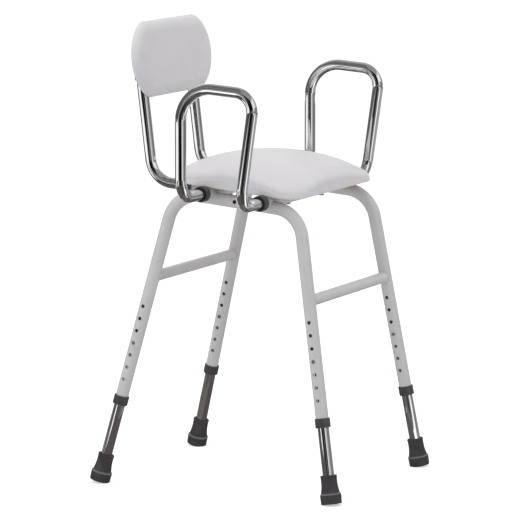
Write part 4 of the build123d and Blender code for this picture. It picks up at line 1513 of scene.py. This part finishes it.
seat_counts = (46, 34)
seat_loop = rounded_rectangle(seat_half_width, -seat_front, seat_rear, seat_front_corner, seat_rear_corner)
seat_depths = (2.5 * mm, board_inset - soft_gap, board_thickness + soft_gap)
mesh, pins = pad_net("seat_pad", stations(seat_loop, seat_counts), seat_counts, seat_crown, seat_shoulder,
                     seat_depths, lambda x, y, z: on_seat(x, y, pad_bottom + z))
mesh = blow_up("seat_pad", mesh, pins, 0.8 * mm)
seat_pad = piece("seat_pad", mesh, "frame", vinyl, ["seat_cushion"])
print("seat pad:", len(mesh.polygons), "faces")

# %% [markdown]
# ## Back pad
# The back pad has straight long edges and bowed ends, with soft corners between them. It is thinner and
# flatter than the seat, so its shoulder is a long gentle roll.

# %% Back pad
back_half_width, back_half_height, back_half_straight = 166.3 * mm, 75.7 * mm, 110.0 * mm
back_thickness, back_shoulder, back_board_inset = 18.0 * mm, (20.0 * mm, 14.0 * mm), 7.0 * mm
back_counts, back_fall = (56, 34), 1.2 * mm
back_outline = bow_ended(back_half_width, back_half_height, back_half_straight)
back_depths = (1.8 * mm, back_board_inset - soft_gap, board_thickness + soft_gap)


def back_crown(x, y):
    """Height of the back pad's front, with a very slight crown."""
    return back_thickness - back_fall * ((x / back_half_width) ** 2 + (y / back_half_height) ** 2)


def on_back(x, y, forward):
    """A point given across the back pad, up it and forward from the middle of its tubes."""
    return pad_middle + x_axis * x + upright * y + pad_forward * forward


back_rim = stations(back_outline, back_counts, spread=2.0 * mm)
mesh, pins = pad_net("back_pad", back_rim, back_counts, back_crown, back_shoulder, back_depths,
                     lambda x, y, z: on_back(x, y, plated_r + soft_gap + z))
mesh = blow_up("back_pad", mesh, pins, 0.6 * mm)
back_pad = piece("back_pad", mesh, "back", vinyl, ["back_cushion"])
print("back pad:", len(mesh.polygons), "faces")

# %% [markdown]
# ## Turned-under vinyl
# The vinyl is pulled over each board's edge, turned under and stapled. The hem is a thin band that follows
# the outline, with a wavy cut edge and small pleats where the outline bends, and it is pressed flat where a
# tube lies across it. The staples are one bent wire copied round the hem by the fastener recipe.

# %% Where the hems lie
seat_tube_press, back_tube_press, back_tube_reach = 16 * mm, 15 * mm, 20 * mm


def near_line(value, line, half_width):
    """1 on a line, falling smoothly to 0 at half_width from it."""
    share = min(1.0, abs(value - line) / half_width)
    return (1 - share**2) ** 2 if share < 1 else 0.0


def across_seat_tube(x, y):
    """1 where a tube under the seat presses the hem, and 0 clear of them."""
    return min(1.0, 2 * max(near_line(y, socket_at[end], seat_tube_press) for end in ends))


def across_back_tube(x, y):
    beside = max(near_line(x, turn * back_half_span, back_tube_press) for turn in sides.values())
    return min(1.0, 2 * beside) * (y < back_tube_reach)


def under_seat(x, y, lift):
    return on_seat(x, y, board_bottom - lift)


def behind_back(x, y, lift):
    return on_back(x, y, plated_r - lift)


# %% Hems
hem_thickness, hem_pleat, hem_wave, hem_squeeze, pleat_reach = 0.8 * mm, 0.5 * mm, 0.7 * mm, 0.97, 4
hem_section = [(0.0, 0.0), (0.02, 0.75), (0.08, 1.0), (0.92, 1.0), (0.98, 0.7), (1.0, 0.0), (1.0, -0.5),
               (0.0, -0.5)]


def hem(name, body, outline, counts, width, edge_inset, place, pressed):
    """A thin turned-under band, closed in section. pressed(x, y) is 1 where a tube squeezes it flat."""
    points, normals = stations(outline, counts)
    number, count = len(points), len(hem_section)
    verts = []
    for i in range(number):
        bend = normals[i - pleat_reach].angle(normals[(i + pleat_reach) % number])
        wave = hem_wave * sin(i * 0.9) * sin(i * 0.23)
        rise = 1 + hem_pleat / hem_thickness * min(1.0, bend * 4) * max(0.0, sin(i * 1.9)) ** 2
        for share, height in hem_section:
            spot = points[i] - normals[i] * (edge_inset + (width + wave) * share)
            lift = hem_thickness * height
            if height > 0:
                lift *= rise * (1 - hem_squeeze * pressed(spot.x, spot.y))
            verts.append(place(spot.x, spot.y, lift))
    faces = [(i * count + j, i * count + (j + 1) % count,
              (i + 1) % number * count + (j + 1) % count, (i + 1) % number * count + j)
             for i in range(number) for j in range(count)]
    rough = bpy.data.meshes.new(name + "_rough")
    rough.from_pydata([tuple(v) for v in verts], [], faces)
    solid = bmesh.new()
    solid.from_mesh(rough)
    bmesh.ops.recalc_face_normals(solid, faces=solid.faces)
    piece(name, smooth(edited(name, solid), 50), body, vinyl)
    print(name, len(faces), "faces")


seat_hem_width, seat_hem_inset, back_hem_width, back_hem_inset = 22 * mm, 4 * mm, 18 * mm, 3 * mm
hem("seat_hem", "frame", seat_loop, (150, 110), seat_hem_width, seat_hem_inset, under_seat, across_seat_tube)
hem("back_hem", "back", back_outline, (130, 90), back_hem_width, back_hem_inset, behind_back,
    across_back_tube)

# %% Staples
staple_half, staple_leg, staple_seat, staple_wire = 5 * mm, 4 * mm, 0.3 * mm, 0.45 * mm
staple_lift, seat_staple_inset, back_staple_inset = 0.7 * mm, 17 * mm, 13 * mm


def staple_rows(outline, counts, inset, place, facing, pressed):
    """A staple at each station of a pad's outline, except where a tube lies across."""
    rows = []
    for point, normal in zip(*stations(outline, counts)):
        spot = point - normal * inset
        if pressed(*spot) == 0:
            here = place(*spot, staple_lift)
            rows.append((here, facing, place(spot.x - normal.y, spot.y + normal.x, staple_lift) - here))
    return rows


def staple_mesh(name):
    """A wire staple: crown along X, legs towards -Z, seated at the origin."""
    route = [(hand * staple_half, 0, z) for hand, z in
             ((-1, -staple_leg), (-1, staple_seat), (1, staple_seat), (1, -staple_leg))]
    obj = scratch(name, route, [(0, 1), (1, 2), (2, 3)], {"bend_radius": ("FLOAT", [0, 1 * mm, 1 * mm, 0])})
    apply_recipe(obj, bent_tube, Outer_Radius=staple_wire, Around=8, Finish=zinc)
    return bake(obj)


for name, body, *where in (
    ("seat_staples", "frame", seat_loop, (9, 7), seat_staple_inset, under_seat, -above, across_seat_tube),
    ("back_staples", "back", back_outline, (8, 6), back_staple_inset, behind_back, -pad_forward,
     across_back_tube),
):
    rows = staple_rows(*where)
    mesh = fasten(name, staple_mesh(name + "_wire"), rows, zinc, Turn_Seed=11, Turn_Spread=0.5)
    piece(name, mesh, body)
    print(name, len(rows))
